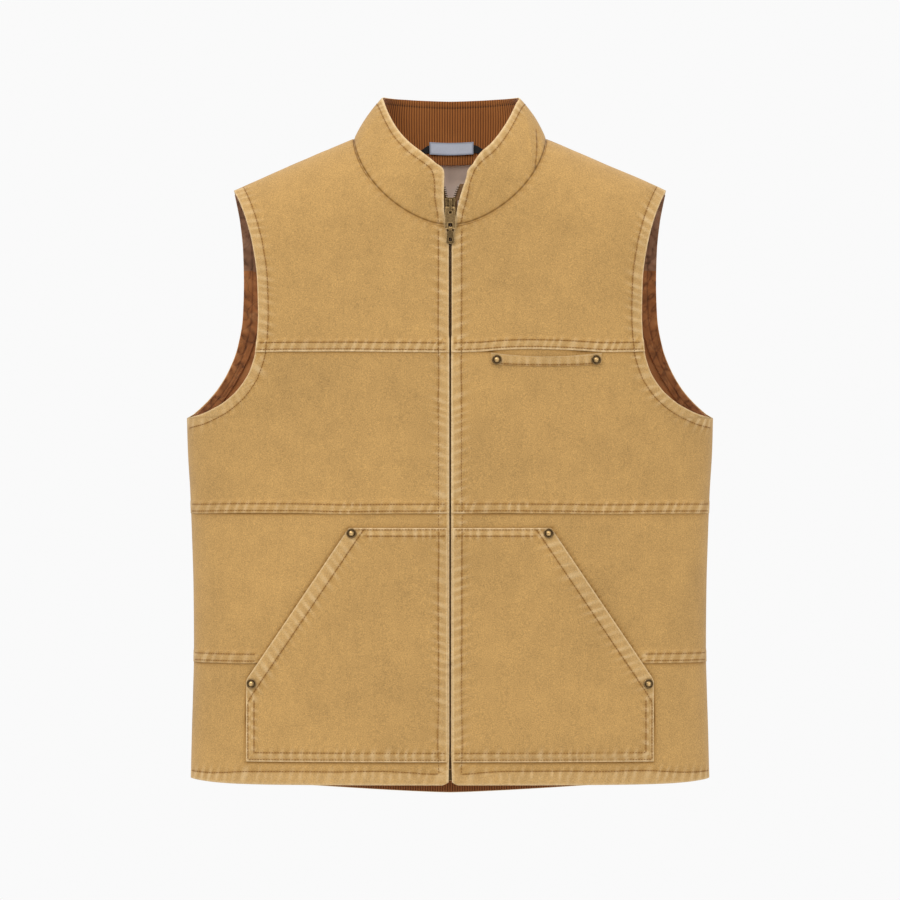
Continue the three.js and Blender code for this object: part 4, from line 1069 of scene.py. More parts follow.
def collar_spot(sign, degrees, share):
    degrees, share = np.broadcast_arrays(np.asarray(degrees, float), np.asarray(share, float))
    at = collar_place(sign, degrees, share)
    low = np.maximum(degrees - 2, 0)
    high = np.minimum(degrees + 2, 180)
    around = unit(collar_place(sign, high, share) - collar_place(sign, low, share))
    ahead = unit(np.array([sign, 0.08, 0]))
    around = mix(ahead, around, soft((degrees - 4) / 12)[..., None])
    up = collar_place(sign, degrees, np.minimum(1, share + 0.05))
    down = collar_place(sign, degrees, share - 0.05)
    out = unit(np.cross(around, up - down) * sign)
    out[..., 0] = np.where(degrees >= 180, 0, out[..., 0])
    out = unit(out)
    bulge = COLLAR_BULGE * 4 * share * (1 - share) * soft(degrees / 30)
    uneven = 0.35 * noise_sheet(sign * degrees / 16 + 40, share * 2.2 + 7, 71) * soft(share * 4)
    for side, angle, rise, *form in COLLAR_CREASES:
        if side == sign:
            ridge = crease((degrees - angle) * COLLAR_DEGREE, (share - rise) * COLLAR_SIDE, form)
            uneven = uneven + ridge * soft(share * 5)
    return at + out * (bulge + uneven)[..., None], out


def collar_sheet(degrees, shares, drop=0):
    """Points and directions over both halves of the collar, as one grid. drop lowers the foot behind."""
    angle, share = np.meshgrid(degrees, shares)
    share = share - drop * soft((angle - 118) / 24) * (1 - soft(share / 0.4))
    right = collar_spot(-1, angle, share)
    left = collar_spot(1, angle, share)
    at = np.concatenate([right[0], left[0][:, -2::-1]], 1)
    out = np.concatenate([right[1], left[1][:, -2::-1]], 1)
    return at, out


def grid_lengths(at):
    along = np.linalg.norm(np.diff(at, axis=1), axis=-1)
    up = np.linalg.norm(np.diff(at, axis=0), axis=-1)
    u = np.concatenate([np.zeros((at.shape[0], 1)), np.cumsum(along, 1)], 1)
    v = np.concatenate([np.zeros((1, at.shape[1])), np.cumsum(up, 0)], 0)
    middle = at.shape[1] // 2
    return u - u[:, middle : middle + 1], v


def upright_lengths(at, u, ring):
    """Lengths round the neck along a level line, so that ribs drawn from them stand upright."""
    middle = len(at) // 2
    centre = 0.5 * (at[middle, 0, 1] + at[middle, at.shape[1] // 2, 1])
    angle = -np.unwrap(np.arctan2(at[..., 0], centre - at[..., 1]), axis=1)
    angles = np.concatenate([[angle[middle, 0] - 1], angle[middle], [angle[middle, -1] + 1]])
    lengths = np.concatenate([[u[middle, 0] - 90], u[middle], [u[middle, -1] + 90]])
    behind = ring >= 90
    straight = np.interp(at[..., 0], at[middle, behind, 0], u[middle, behind])
    return mix(np.interp(angle, angles, lengths), straight, 0.8 * soft((ring - 126) / 34))


def collar_height(sign, degrees):
    at = collar_place(sign, np.array([degrees, degrees], float), np.array([0.0, 1.0]))
    return float(np.linalg.norm(at[1] - at[0]))


def collar_front_path(sign):
    """Angles and shares of the topstitching: up beside the front edge, then along the top edge."""
    shares = np.linspace(0.03, 0.66, 40)
    angles = np.linspace(0, 34, 300)
    stops_up = []
    for share in shares:
        spots = collar_place(sign, angles, np.full(300, share))
        edge = float(front_edge(sign, spots[0, 2]))
        want = edge + mix(FRONT_ROW - edge, COLLAR_ROW + 0.3, soft(share * 2.2))
        stops_up.append(float(np.interp(want, np.abs(spots[:, 0]), angles)))
    degrees = np.concatenate([np.linspace(20, 60, 60), np.linspace(61, 180, 160)])
    heights = np.array([collar_height(sign, angle) for angle in degrees])
    along_top = 1 - COLLAR_ROW / heights
    corner_a = np.array([stops_up[-1], shares[-1]])
    corner_b = np.array([degrees[0], along_top[0]])
    corner = np.array([stops_up[-1] + 1.5, along_top[0] - 0.01])
    t = np.linspace(0, 1, 24)[1:-1, None]
    bend = (1 - t) ** 2 * corner_a + 2 * t * (1 - t) * corner + t * t * corner_b
    angle = np.concatenate([stops_up, bend[:, 0], degrees])
    share = np.concatenate([shares, bend[:, 1], along_top])
    return angle, share


def collar_line(sign):
    angle, share = collar_front_path(sign)
    at, out = collar_spot(sign, angle, share)
    length = run_lengths(at)
    where = np.linspace(0, length[-1], int(length[-1] / LINE_STEP))
    angle = np.interp(where, length, angle)
    share = np.interp(where, length, share)
    at, out = collar_spot(sign, angle, share)
    return SeamLine(at, out, 33 if sign > 0 else 34, swell=0.26, spread=9, band=-sign, slant=0.3)


# Stitches
# share of a stitch's length, radius share, height
STITCH_ROWS = [(0, 0.3, -0.42), (0.22, 0.98, 0.04), (0.78, 0.98, 0.04), (1, 0.3, -0.42)]


def stitch_mesh(name, lines):
    """Short lengths of thread along the seam lines, sunk into the cloth at both ends."""
    rings = []
    for line in lines:
        where = np.arange(0.4, line.length[-1] - STITCH_LENGTH, STITCH_PITCH)
        heights = line.swell * line.wave - 0.12
        carried = line.points + line.outs * heights[:, None]
        first = along_line(line, carried, where)
        last = along_line(line, carried, where + STITCH_LENGTH)
        out = unit(along_line(line, line.outs, where + STITCH_LENGTH / 2))
        run = unit(last - first)
        beside = unit(np.cross(run, out))
        jump = np.abs(np.sum((last - first) * out, -1)) > 1.2
        row = []
        for share, size, sink in STITCH_ROWS:
            middle = along_line(line, carried, where + STITCH_LENGTH * share) + out * (sink + 0.1)
            for k in range(THREAD_SIDES):
                turn = 2 * math.pi * k / THREAD_SIDES
                spoke = beside * math.cos(turn) + out * math.sin(turn)
                row.append(middle + THREAD_RADIUS * size * spoke)
        rings.append(np.stack(row, 1)[~jump])
    return rods(name, np.concatenate(rings), len(STITCH_ROWS), THREAD_SIDES)


def along_line(line, values, where):
    return np.stack([np.interp(where, line.length, values[:, k]) for k in range(3)], -1)


# Node groups and materials
def new_group(name, inputs, outputs):
    tree = bpy.data.node_groups.new(name, "ShaderNodeTree")
    for label, kind, value in inputs:
        socket = tree.interface.new_socket(name=label, in_out="INPUT", socket_type=kind)
        if value is not None:
            socket.default_value = value
    for label, kind in outputs:
        tree.interface.new_socket(name=label, in_out="OUTPUT", socket_type=kind)
    return tree, tree.nodes.new("NodeGroupInput").outputs, tree.nodes.new("NodeGroupOutput").inputs


FLOAT = "NodeSocketFloat"
COLOUR = "NodeSocketColor"
VECTOR = "NodeSocketVector"


class Maker:
    """Adds nodes to one tree in short calls."""

    def __init__(self, tree):
        self.tree = tree

    def join(self, value, socket):
        if isinstance(value, bpy.types.NodeSocket):
            self.tree.links.new(value, socket)
        elif value is not None:
            socket.default_value = value

    def math(self, kind, a, b=None, clamp=False):
        node = self.tree.nodes.new("ShaderNodeMath")
        node.operation = kind
        node.use_clamp = clamp
        for value, socket in zip((a, b), node.inputs):
            self.join(value, socket)
        return node.outputs[0]

    def vector(self, kind, a, b=None, scale=None):
        node = self.tree.nodes.new("ShaderNodeVectorMath")
        node.operation = kind
        self.join(a, node.inputs[0])
        self.join(b, node.inputs[1])
        if scale is not None:
            self.join(scale, node.inputs["Scale"])
        return node.outputs["Value" if kind == "DISTANCE" else "Vector"]

    def noise(self, place, scale, detail=2, rough=0.5):
        node = self.tree.nodes.new("ShaderNodeTexNoise")
        self.join(place, node.inputs["Vector"])
        self.join(scale, node.inputs["Scale"])
        node.inputs["Detail"].default_value = detail
        node.inputs["Roughness"].default_value = rough
        return node.outputs[0]

    def blend(self, share, a, b):
        node = self.tree.nodes.new("ShaderNodeMix")
        node.data_type = "RGBA"
        self.join(share, node.inputs[0])
        self.join(a, node.inputs[6])
        self.join(b, node.inputs[7])
        return node.outputs[2]

    def between(self, value, low, high, to_low, to_high):
        node = self.tree.nodes.new("ShaderNodeMapRange")
        self.join(value, node.inputs[0])
        for k, number in enumerate((low, high, to_low, to_high)):
            self.join(number, node.inputs[k + 1])
        return node.outputs[0]

    def split(self, value):
        node = self.tree.nodes.new("ShaderNodeSeparateXYZ")
        self.join(value, node.inputs[0])
        return node.outputs

    def use(self, group, **values):
        node = self.tree.nodes.new("ShaderNodeGroup")
        node.node_tree = group
        for label, value in values.items():
            self.join(value, node.inputs[label.replace("_", " ")])
        return node.outputs

    def bump(self, height, strength, distance):
        node = self.tree.nodes.new("ShaderNodeBump")
        self.join(height, node.inputs["Height"])
        node.inputs["Strength"].default_value = strength
        node.inputs["Distance"].default_value = distance
        return node.outputs[0]


def weave_group():
    """Plain weave from lengths on the cloth: height, and the worn tops of the threads."""
    tree, given, wanted = new_group(
        "plain_weave",
        [("Cloth", VECTOR, None), ("Threads", FLOAT, 1500.0), ("Slub", FLOAT, 0.3)],
        [("Height", FLOAT), ("Tops", FLOAT)],
    )
    m = Maker(tree)
    wobble = m.noise(given["Cloth"], 260.0, 1)
    place = m.vector("SCALE", given["Cloth"], scale=given["Threads"])
    x, y, _ = m.split(place)
    shift = m.math("MULTIPLY", wobble, 2.2)
    warp = m.math("SINE", m.math("ADD", m.math("MULTIPLY", x, math.pi), shift))
    weft = m.math("SINE", m.math("SUBTRACT", m.math("MULTIPLY", y, math.pi), shift))
    over = m.math("MULTIPLY", warp, weft)
    slub = m.noise(m.vector("MULTIPLY", given["Cloth"], (260.0, 1400.0, 1.0)), 1.0, 1)
    slub = m.math("MULTIPLY", slub, given["Slub"])
    height = m.math("ADD", m.math("MULTIPLY", over, 0.5), slub)
    m.join(height, wanted["Height"])
    m.join(m.math("MAXIMUM", over, 0.0), wanted["Tops"])
    return tree


def ribs_group():
    """Upright ribs of corduroy: height, painted shade in the gaps and painted light on the tops."""
    tree, given, wanted = new_group(
        "corduroy_ribs",
        [("Cloth", VECTOR, None), ("Pitch", FLOAT, 0.0025)],
        [("Height", FLOAT), ("Gap", FLOAT), ("Shade", FLOAT)],
    )
    m = Maker(tree)
    x, _, _ = m.split(given["Cloth"])
    turn = m.math("DIVIDE", m.math("MULTIPLY", x, math.pi), given["Pitch"])
    ridge = m.math("ABSOLUTE", m.math("SINE", turn))
    m.join(ridge, wanted["Height"])
    m.join(m.math("MULTIPLY", m.math("SUBTRACT", 1.0, ridge), 0.78), wanted["Gap"])
    m.join(m.math("MULTIPLY", m.math("SUBTRACT", ridge, 0.62), 0.9), wanted["Shade"])
    return tree


def washed_group():
    """Colour of washed cloth: mottled, speckled and paler on worn edges, with painted shade in seams,
    grooves and pucker valleys, and pucker crests paler from wear and painted highlight.
    """
    tree, given, wanted = new_group(
        "washed_cloth",
        [
            ("Place", VECTOR, None),
            ("Cloth Colour", COLOUR, (0.5, 0.3, 0.1, 1)),
            ("Faded", COLOUR, (0.8, 0.6, 0.4, 1)),
            ("Deep", COLOUR, (0.3, 0.15, 0.05, 1)),
            ("Wear", FLOAT, 0.0),
            ("Groove", FLOAT, 0.0),
            ("Pucker", FLOAT, 0.5),
            ("Tops", FLOAT, 0.0),
            ("Mottle", FLOAT, 0.12),
            ("Speckle", FLOAT, 0.12),
        ],
        [("Colour", COLOUR), ("Roughness", FLOAT)],
    )
    m = Maker(tree)
    place = given["Place"]
    wide = m.noise(place, 8.0, 2)
    patch = m.noise(place, 42.0, 4, 0.6)
    streak = m.noise(m.vector("MULTIPLY", place, (150.0, 150.0, 40.0)), 1.0, 3, 0.6)
    speck = m.noise(place, 860.0, 2, 0.75)
    tone = m.math("SUBTRACT", m.math("ADD", wide, patch), 1.0)
    tone = m.math("ADD", tone, m.math("MULTIPLY", m.math("SUBTRACT", streak, 0.5), 0.5))
    tone = m.math("MULTIPLY", tone, given["Mottle"])
    grain = m.math("MULTIPLY", m.math("SUBTRACT", speck, 0.5), given["Speckle"])
    factor = m.math("ADD", m.math("ADD", tone, grain), 1.0)
    colour = m.vector("SCALE", given["Cloth Colour"], scale=factor)
    ruffled = m.math("SUBTRACT", given["Pucker"], 0.5)
    # Pucker crests turn paler, partly from wear and partly as painted highlight; pucker valleys and grooves
    # get painted shade.
    crest = m.math("MULTIPLY", m.math("MAXIMUM", ruffled, 0.0), 0.78)
    valley = m.math("MULTIPLY", m.math("MAXIMUM", m.math("MULTIPLY", ruffled, -1.0), 0.0), 0.72)
    dark = m.math("ADD", valley, m.math("MULTIPLY", given["Groove"], 0.66), clamp=True)
    colour = m.blend(dark, colour, given["Deep"])
    # The middle of a deep groove is darkened further with painted shade.
    ditch = m.between(given["Groove"], 0.95, 1.5, 1.0, 0.5)
    colour = m.vector("SCALE", colour, scale=ditch)
    broken = m.between(m.noise(place, 480.0, 3, 0.7), 0.3, 0.62, 0.35, 1.0)
    worn = m.math("MULTIPLY", m.math("MULTIPLY", given["Wear"], broken), 0.85)
    pale = m.math("ADD", crest, worn, clamp=True)
    pale = m.math("ADD", pale, m.math("MULTIPLY", given["Tops"], 0.05), clamp=True)
    colour = m.blend(pale, colour, given["Faded"])
    m.join(colour, wanted["Colour"])
    m.join(m.between(speck, 0.2, 0.8, 0.84, 0.98), wanted["Roughness"])
    return tree


def brass_group():
    """Antique brass: dark patina and painted shade in its hollows, rubbed bright and painted highlight where
    it stands out.
    """
    tree, given, wanted = new_group(
        "antique_brass",
        [
            ("Place", VECTOR, None),
            ("Rubbed", FLOAT, 0.3),
            ("Bright", COLOUR, (0.8, 0.53, 0.23, 1)),
            ("Dark", COLOUR, (0.07, 0.042, 0.02, 1)),
        ],
        [("Colour", COLOUR), ("Roughness", FLOAT), ("Height", FLOAT)],
    )
    m = Maker(tree)
    cloud = m.noise(given["Place"], 520.0, 4, 0.65)
    fine = m.noise(given["Place"], 3200.0, 2, 0.5)
    share = m.math("ADD", m.between(cloud, 0.3, 0.72, -0.07, 0.13), given["Rubbed"], clamp=True)
    m.join(m.blend(share, given["Dark"], given["Bright"]), wanted["Colour"])
    m.join(m.between(cloud, 0.3, 0.7, 0.42, 0.28), wanted["Roughness"])
    m.join(fine, wanted["Height"])
    return tree


WEAVE = weave_group()
RIBS = ribs_group()
WASHED = washed_group()
BRASS = brass_group()


def new_material(name):
    material = bpy.data.materials.new(name)
    material.use_nodes = True
    shader = material.node_tree.nodes["Principled BSDF"]
    return material, Maker(material.node_tree), shader


def coordinates(m):
    node = m.tree.nodes.new("ShaderNodeTexCoord")
    return node.outputs["Object"], node.outputs["UV"]


def mark_sockets(m):
    node = m.tree.nodes.new("ShaderNodeAttribute")
    node.attribute_name = "marks"
    return m.split(node.outputs["Color"])


def cloth_material(name, colours, threads=1500.0, mottle=0.13, speckle=0.14, relief=0.35, **more):
    """Washed cloth. colours are the cloth's own, its faded one, which also paints the light on pucker
    crests, and its deep one, which paints the shade in seams, grooves and pucker valleys.
    """
    own, faded, deep = [(*colour, 1) for colour in colours]
    material, m, shader = new_material(name)
    place, cloth_uv = coordinates(m)
    wear, groove, pucker = mark_sockets(m)
    weave = m.use(WEAVE, Cloth=cloth_uv, Threads=threads, Slub=0.35)
    height = weave["Height"]
    distance = 0.00022
    if "wale" in more:
        # Corduroy ribs add painted shade to the grooves and painted light and shade to the puckers.
        ribs = m.use(RIBS, Cloth=cloth_uv, Pitch=more["wale"])
        groove = m.math("ADD", groove, ribs["Gap"])
        pucker = m.math("ADD", pucker, ribs["Shade"])
        height = m.math("ADD", m.math("MULTIPLY", height, 0.2), ribs["Height"])
        distance = 0.0007
    washed = m.use(
        WASHED,
        Place=place,
        Cloth_Colour=own,
        Faded=faded,
        Deep=deep,
        Wear=wear,
        Groove=groove,
        Pucker=pucker,
        Tops=weave["Tops"],
        Mottle=mottle,
        Speckle=speckle,
    )
    m.join(washed["Colour"], shader.inputs["Base Color"])
    m.join(washed["Roughness"], shader.inputs["Roughness"])
    m.join(m.bump(height, relief, distance), shader.inputs["Normal"])
    shader.inputs["Specular IOR Level"].default_value = more.get("gloss", 0.25)
    shader.inputs["Sheen Weight"].default_value = more.get("sheen", 0.12)
    shader.inputs["Sheen Roughness"].default_value = 0.5
    return material


def brass_material(name, rubbed=None):
    """Brass that is rubbed bright with painted highlight on its edges, or where its marks say so."""
    material, m, shader = new_material(name)
    place, _ = coordinates(m)
    if rubbed is None:
        rubbed, _, _ = mark_sockets(m)
    elif rubbed:
        # Edges found by the bevel are brightened: rubbed brass and painted highlight.
        rounded = m.tree.nodes.new("ShaderNodeBevel")
        rounded.inputs["Radius"].default_value = 0.0008
        flat = m.tree.nodes.new("ShaderNodeNewGeometry")
        apart = m.vector("DISTANCE", rounded.outputs[0], flat.outputs["Normal"])
        # Ambient occlusion darkens the hollows: patina and painted shade.
        hollow = m.tree.nodes.new("ShaderNodeAmbientOcclusion")
        hollow.inputs["Distance"].default_value = 0.003
        open_air = m.between(hollow.outputs["AO"], 0.35, 0.95, -0.4, rubbed)
        rubbed = m.math("ADD", open_air, m.between(apart, 0.04, 0.45, 0.0, 1.0))
    brass = m.use(BRASS, Place=place, Rubbed=rubbed)
    m.join(brass["Colour"], shader.inputs["Base Color"])
    m.join(brass["Roughness"], shader.inputs["Roughness"])
    m.join(m.bump(brass["Height"], 0.12, 0.0001), shader.inputs["Normal"])
    shader.inputs["Metallic"].default_value = 1
    return material


canvas = cloth_material(
    "washed_canvas",
    [(0.452, 0.266, 0.087), (0.78, 0.585, 0.33), (0.29, 0.138, 0.026)],
    mottle=0.3,
    speckle=1.45,
)
rust = cloth_material(
    "rust_quilted_lining",
    [(0.44, 0.165, 0.048), (0.64, 0.32, 0.13), (0.07, 0.02, 0.006)],
    threads=3600.0,
    relief=0.12,
    gloss=0.35,
    sheen=0.25,
)
umber = cloth_material(
    "umber_facing",
    [(0.36, 0.19, 0.105), (0.52, 0.33, 0.22), (0.1, 0.045, 0.02)],
    threads=3400.0,
    relief=0.12,
    sheen=0.2,
)
grey = cloth_material(
    "beige_grey_lining",
    [(0.82, 0.68, 0.56), (0.92, 0.84, 0.76), (0.3, 0.21, 0.15)],
    threads=3200.0,
    relief=0.12,
    sheen=0.2,
)
dark_tape = cloth_material(
    "dark_rust_tape",
    [(0.25, 0.08, 0.02), (0.42, 0.18, 0.06), (0.04, 0.013, 0.005)],
    threads=1900.0,
    relief=0.5,
    wale=0.0027,
)
cord = cloth_material(
    "rust_corduroy",
    [(0.315, 0.1, 0.019), (0.5, 0.21, 0.058), (0.05, 0.015, 0.004)],
    threads=2600.0,
    mottle=0.3,
    speckle=0.4,
    relief=0.6,
    sheen=0.12,
    wale=0.0028,
)
tape = cloth_material(
    "zip_tape",
    [(0.16, 0.085, 0.035), (0.3, 0.18, 0.09), (0.03, 0.016, 0.008)],
    threads=1900.0,
    relief=0.5,
)
label_cloth = cloth_material(
    "neck_label",
    [(0.42, 0.45, 0.52), (0.6, 0.63, 0.7), (0.07, 0.08, 0.1)],
    threads=2600.0,
    mottle=0.06,
    relief=0.3,
)
loop_cloth = cloth_material(
    "hanger_tape",
    [(0.014, 0.013, 0.013), (0.05, 0.05, 0.05), (0.004, 0.004, 0.004)],
    threads=2000.0,
    relief=0.5,
)
thread = cloth_material(
    "golden_brown_thread",
    [(0.26, 0.118, 0.022), (0.4, 0.21, 0.06), (0.14, 0.06, 0.012)],
    mottle=0.3,
    speckle=0.2,
    relief=0.0,
    gloss=0.3,
)
brass = brass_material("antique_brass", 0.2)
# The zip teeth get no rubbing and stay dark brass, darkened further as painted shade of the slit they sit
# in.
teeth_brass = brass_material("shaded_teeth", 0.0)
rivet_brass = brass_material("rivet_brass")

# Fronts
sewn_lines = []
for word, sign in SIDES.items():
    lines = front_lines(sign)
    sewn_lines += lines
    arm_edge = on_front(sign, *armhole_edge(-1))
    front_z = np.arange(-HEM, -NECK_DROP, LINE_STEP)
    centre_edge = on_front(sign, front_edge(sign, front_z), front_z)
    seam_edges = {}
    for seam in (YOKE_SEAM, MID_SEAM, LOW_SEAM):
        span = np.arange(2, outer_edge(-1, np.array(-seam + 0.5)) if seam == YOKE_SEAM else 16, LINE_STEP)
        seam_edges[seam] = on_front(sign, span, seam_foot(seam, sign * span) + 0.2)
    hem_x = np.arange(3, half_width(-HEM), LINE_STEP)
    hem_edge = on_front(sign, hem_x, front_hem(hem_x))

    x, z = yoke_places(sign)
    edges = [arm_edge, centre_edge, seam_edges[YOKE_SEAM]]
    front_panel("yoke", word, x, z, [YOKE_SEAM], lines + [neck_line(sign)], edges, "chest")

    z = stops(-MID_SEAM, -YOKE_SEAM + UNDER_LAP, 15, 0)
    z = np.unique(np.concatenate([z, stops(-UNDERARM - 12, -UNDERARM + 30, 0, 0, coarse=1.4)]))
    x, rows = ruled(*level_rows(sign, z), FRONT_SHARES)
    rows = bent_foot(sign, x, rows, MID_SEAM)
    under = lines[2:] + [under_seam(YOKE_SEAM, sign)]
    edges = [arm_edge, centre_edge, seam_edges[MID_SEAM]]
    front_panel("chest", word, x, rows, [MID_SEAM], under, edges, "yoke")

    z = stops(-LOW_SEAM, -MID_SEAM + UNDER_LAP, 15, 0)
    x, rows = ruled(*level_rows(sign, z), FRONT_SHARES)
    rows = bent_foot(sign, x, rows, LOW_SEAM)
    under = lines[4:] + [under_seam(MID_SEAM, sign), beside_pocket(sign)]
    edges = [centre_edge, seam_edges[LOW_SEAM]]
    front_panel("waist", word, x, rows, [LOW_SEAM], under, edges, "chest")

    z = stops(-HEM, -LOW_SEAM + UNDER_LAP, 18, 0)
    x, rows = ruled(*level_rows(sign, z), FRONT_SHARES)
    settle = 1 - soft((rows + HEM) / 20)
    rows = rows + settle * (front_hem(x) + HEM)
    corner = np.clip(1 - (x - front_edge(sign, rows)) / 7, 0, 1) ** 2
    rows = rows + 3.4 * corner * settle**3
    under = lines[6:] + [under_seam(LOW_SEAM, sign), beside_pocket(sign)]
    front_panel("hem", word, x, rows, [], under, [centre_edge, hem_edge], "waist", hem=True)

    made, own = pocket(f"patch_pocket_{word}", sign, lines[6])
    finish_sheet(made, "canvas", [canvas, canvas], f"pocket_{word}", f"front_waist_{word}")
    sewn_lines += own

# Back
NECK_RUN = 107
SHOULDER_RUN = 139
BACK_TOP_RUN = 120
NECK_SHARE = NECK_RUN / (NECK_RUN + SHOULDER_RUN)


def back_shares(coarse, end=0):
    neck = spaced(NECK_RUN, coarse=coarse) * NECK_SHARE
    side = NECK_SHARE + spaced(SHOULDER_RUN, 0, end, coarse=coarse) * (1 - NECK_SHARE)
    return np.concatenate([neck, side[1:]])


def level_places(z, shares, inset=0):
    """Right half of the back, in level rows."""
    turn = turn_at((outer_edge(1, z) - inset) / half_width(z))[:, None] * shares
    return half_width(z)[:, None] * across(turn), np.broadcast_to(z[:, None], turn.shape)


def fan_places(t, shares, foot, inset=0):
    """Right half of the back's top, between a level foot, the armhole, the shoulder and the neck."""
    t = t[:, None]
    s = shares[None, :]

    def arc(x, z):
        return roll_arc(np.maximum(0, shoulder_line(x) - z))

    degrees = 180 - 90 * np.clip(s / NECK_SHARE, 0, 1)
    neck_x, neck_z = neck_place(degrees)
    shoulder_x = mix(NECK_HALF, TIP_X - inset, np.clip((s - NECK_SHARE) / (1 - NECK_SHARE), 0, 1))
    on_neck = s < NECK_SHARE
    head_x = np.where(on_neck, neck_x, shoulder_x)
    head = np.where(on_neck, arc(neck_x, neck_z), 0)
    foot_x, foot_z = level_places(np.array([foot]), shares, inset)
    low = arc(foot_x, foot_z)
    side_z = mix(foot, ARMHOLE_TOP, t)
    side_x = armhole(1, side_z) - inset
    side = arc(side_x, side_z)
    middle = mix(arc(0.0, foot), arc(0.0, -BACK_NECK_DROP), t)

    def patch(bottom, top, left, right):
        ruled_up = mix(bottom, top, t)
        ruled_over = mix(left, right, s)
        corners = mix(mix(bottom[:, :1], bottom[:, -1:], s), mix(top[:, :1], top[:, -1:], s), t)
        return ruled_up + ruled_over - corners

    x = patch(foot_x, head_x, np.zeros_like(t), side_x)
    drop = patch(low, head, middle, side)
    return x, shoulder_line(x) - roll_drop(np.maximum(drop, 0))


def back_places():
    """Right half of the whole back: level rows, and above them the ones that fan out."""
    shares = back_shares(BACK_STEP, 14)
    level_x, level_z = level_places(stops(-HEM, -LINING_YOKE, 16, 0, coarse=BACK_STEP), shares)
    rows = spaced(BACK_TOP_RUN, 0, 4, coarse=BACK_STEP)[1:]
    fan_x, fan_z = fan_places(rows, shares, -LINING_YOKE)
    return np.concatenate([level_x, fan_x]), np.concatenate([level_z, fan_z])


def both_halves(x, z):
    return np.concatenate([-x[:, :0:-1], x], 1), np.concatenate([z[:, :0:-1], z], 1)


def back_line(x, z, seed, **facts):
    x, z = resampled(x, z)
    return body_line(1, x, z, seed, **facts)


back_lines = []
for sign in (1, -1):
    x, z = armhole_row(1)
    back_lines.append(back_line(sign * x, z, 37 + sign, swell=0.26, spread=12, band=-sign))
x = np.arange(-half_width(-HEM) + 1, half_width(-HEM) - 1, LINE_STEP)
back_lines.append(back_line(x, back_hem(x) + HEM_ROW, 39, swell=0.34, spread=12, band=-1))
sewn_lines += back_lines
# The back neck seam's ditch, darkened with painted shade.
neck_x, neck_z = neck_place(np.linspace(90.5, 180, 200))
for sign in (1, -1):
    at, out = surface(1, sign * neck_x, neck_z)
    back_lines.append(SeamLine(at, out, 31, swell=0.07, spread=6, groove=1.7, sewn=False))

x, z = both_halves(*back_places())
settle = 1 - soft((z + HEM) / 45)
z = z + settle * (back_hem(x) + HEM)
at, out = surface(1, x, z)
u, v = cloth_place(x, z)
edge_z = np.arange(-UNDERARM + 0.2, ARMHOLE_TOP, 0.6)
edges = [surface(1, sign * armhole(1, edge_z), edge_z)[0] for sign in (1, -1)]
edge_x = np.arange(-half_width(-HEM), half_width(-HEM), LINE_STEP)
edges.append(surface(1, edge_x, back_hem(edge_x))[0])
made = cloth("back", at, out, drape(1, x, z), CANVAS, np.stack([u, v], -1), back_lines, edges)
finish_sheet(made, "canvas", [canvas, canvas], "back_panel", "collar_shell")


# Linings
def crinkle(u, v, seed):
    """Crushed folds of a washed lining, sharper than plain noise."""
    a = 1 - np.abs(noise_sheet(u / 21, v / 13, seed)) * 2
    b = 1 - np.abs(noise_sheet(u / 9 + 3, v / 11 + 8, seed + 1)) * 2
    return 0.6 * a + 0.3 * b


def lining(name, x, z, seed, materials, slot, node, quilted=True):
    at, out = surface(1, x, z)
    u, v = cloth_place(x, z)
    calm = soft((outer_edge(1, z) - np.abs(x) - mix(9, 18, soft((z + 270) / 90))) / 14)
    puff = quilt(u, v) if quilted else 0.3 * np.ones_like(u)
    ruck = crinkle(u, v, seed)
    height = (0.9 * puff + 0.55 * ruck + 0.2) * calm
    # Quilting rows and crinkle valleys are darkened with painted shade, and crinkle ridges paled with
    # painted light.
    groove = np.clip(1 - puff * 2.4, 0, 1) * 0.75 if quilted else np.zeros_like(u)
    extra = mark_grid(groove * calm + 0.3 * np.clip(-ruck, 0, 1), 0.5 * ruck)
    made = cloth_inside(name, at, out, INSIDE, LINING - 0.6, height, np.stack([u, v], -1), extra)
    finish_sheet(made, slot, materials, node, "back_panel")


def cloth_inside(name, at, out, lift, thick, height, places, extra=None):
    """A sheet whose good side looks into the hollow."""
    return cloth(name, at + out * (lift - thick), -out, height, thick, places, extra=extra)


shares = back_shares(4)
x, z = level_places(stops(-HEM + HEM_FACING + 0.6, -LINING_YOKE - 0.6, 0, 0, coarse=4), shares, 2.2)
rise = 1 - soft((z + HEM - HEM_FACING) / 30)
x, z = both_halves(x, z + rise * (back_hem(x) + HEM))
lining("quilted_lining", x, z, 81, [rust, rust], "quilted_lining", "lining_back")
x, z = fan_places(spaced(BACK_TOP_RUN, coarse=4), shares, -LINING_YOKE + 0.6, 2.2)
x, z = both_halves(x, z)
lining("yoke_lining", x, z, 85, [grey, grey], "grey_lining", "lining_back_yoke", quilted=False)

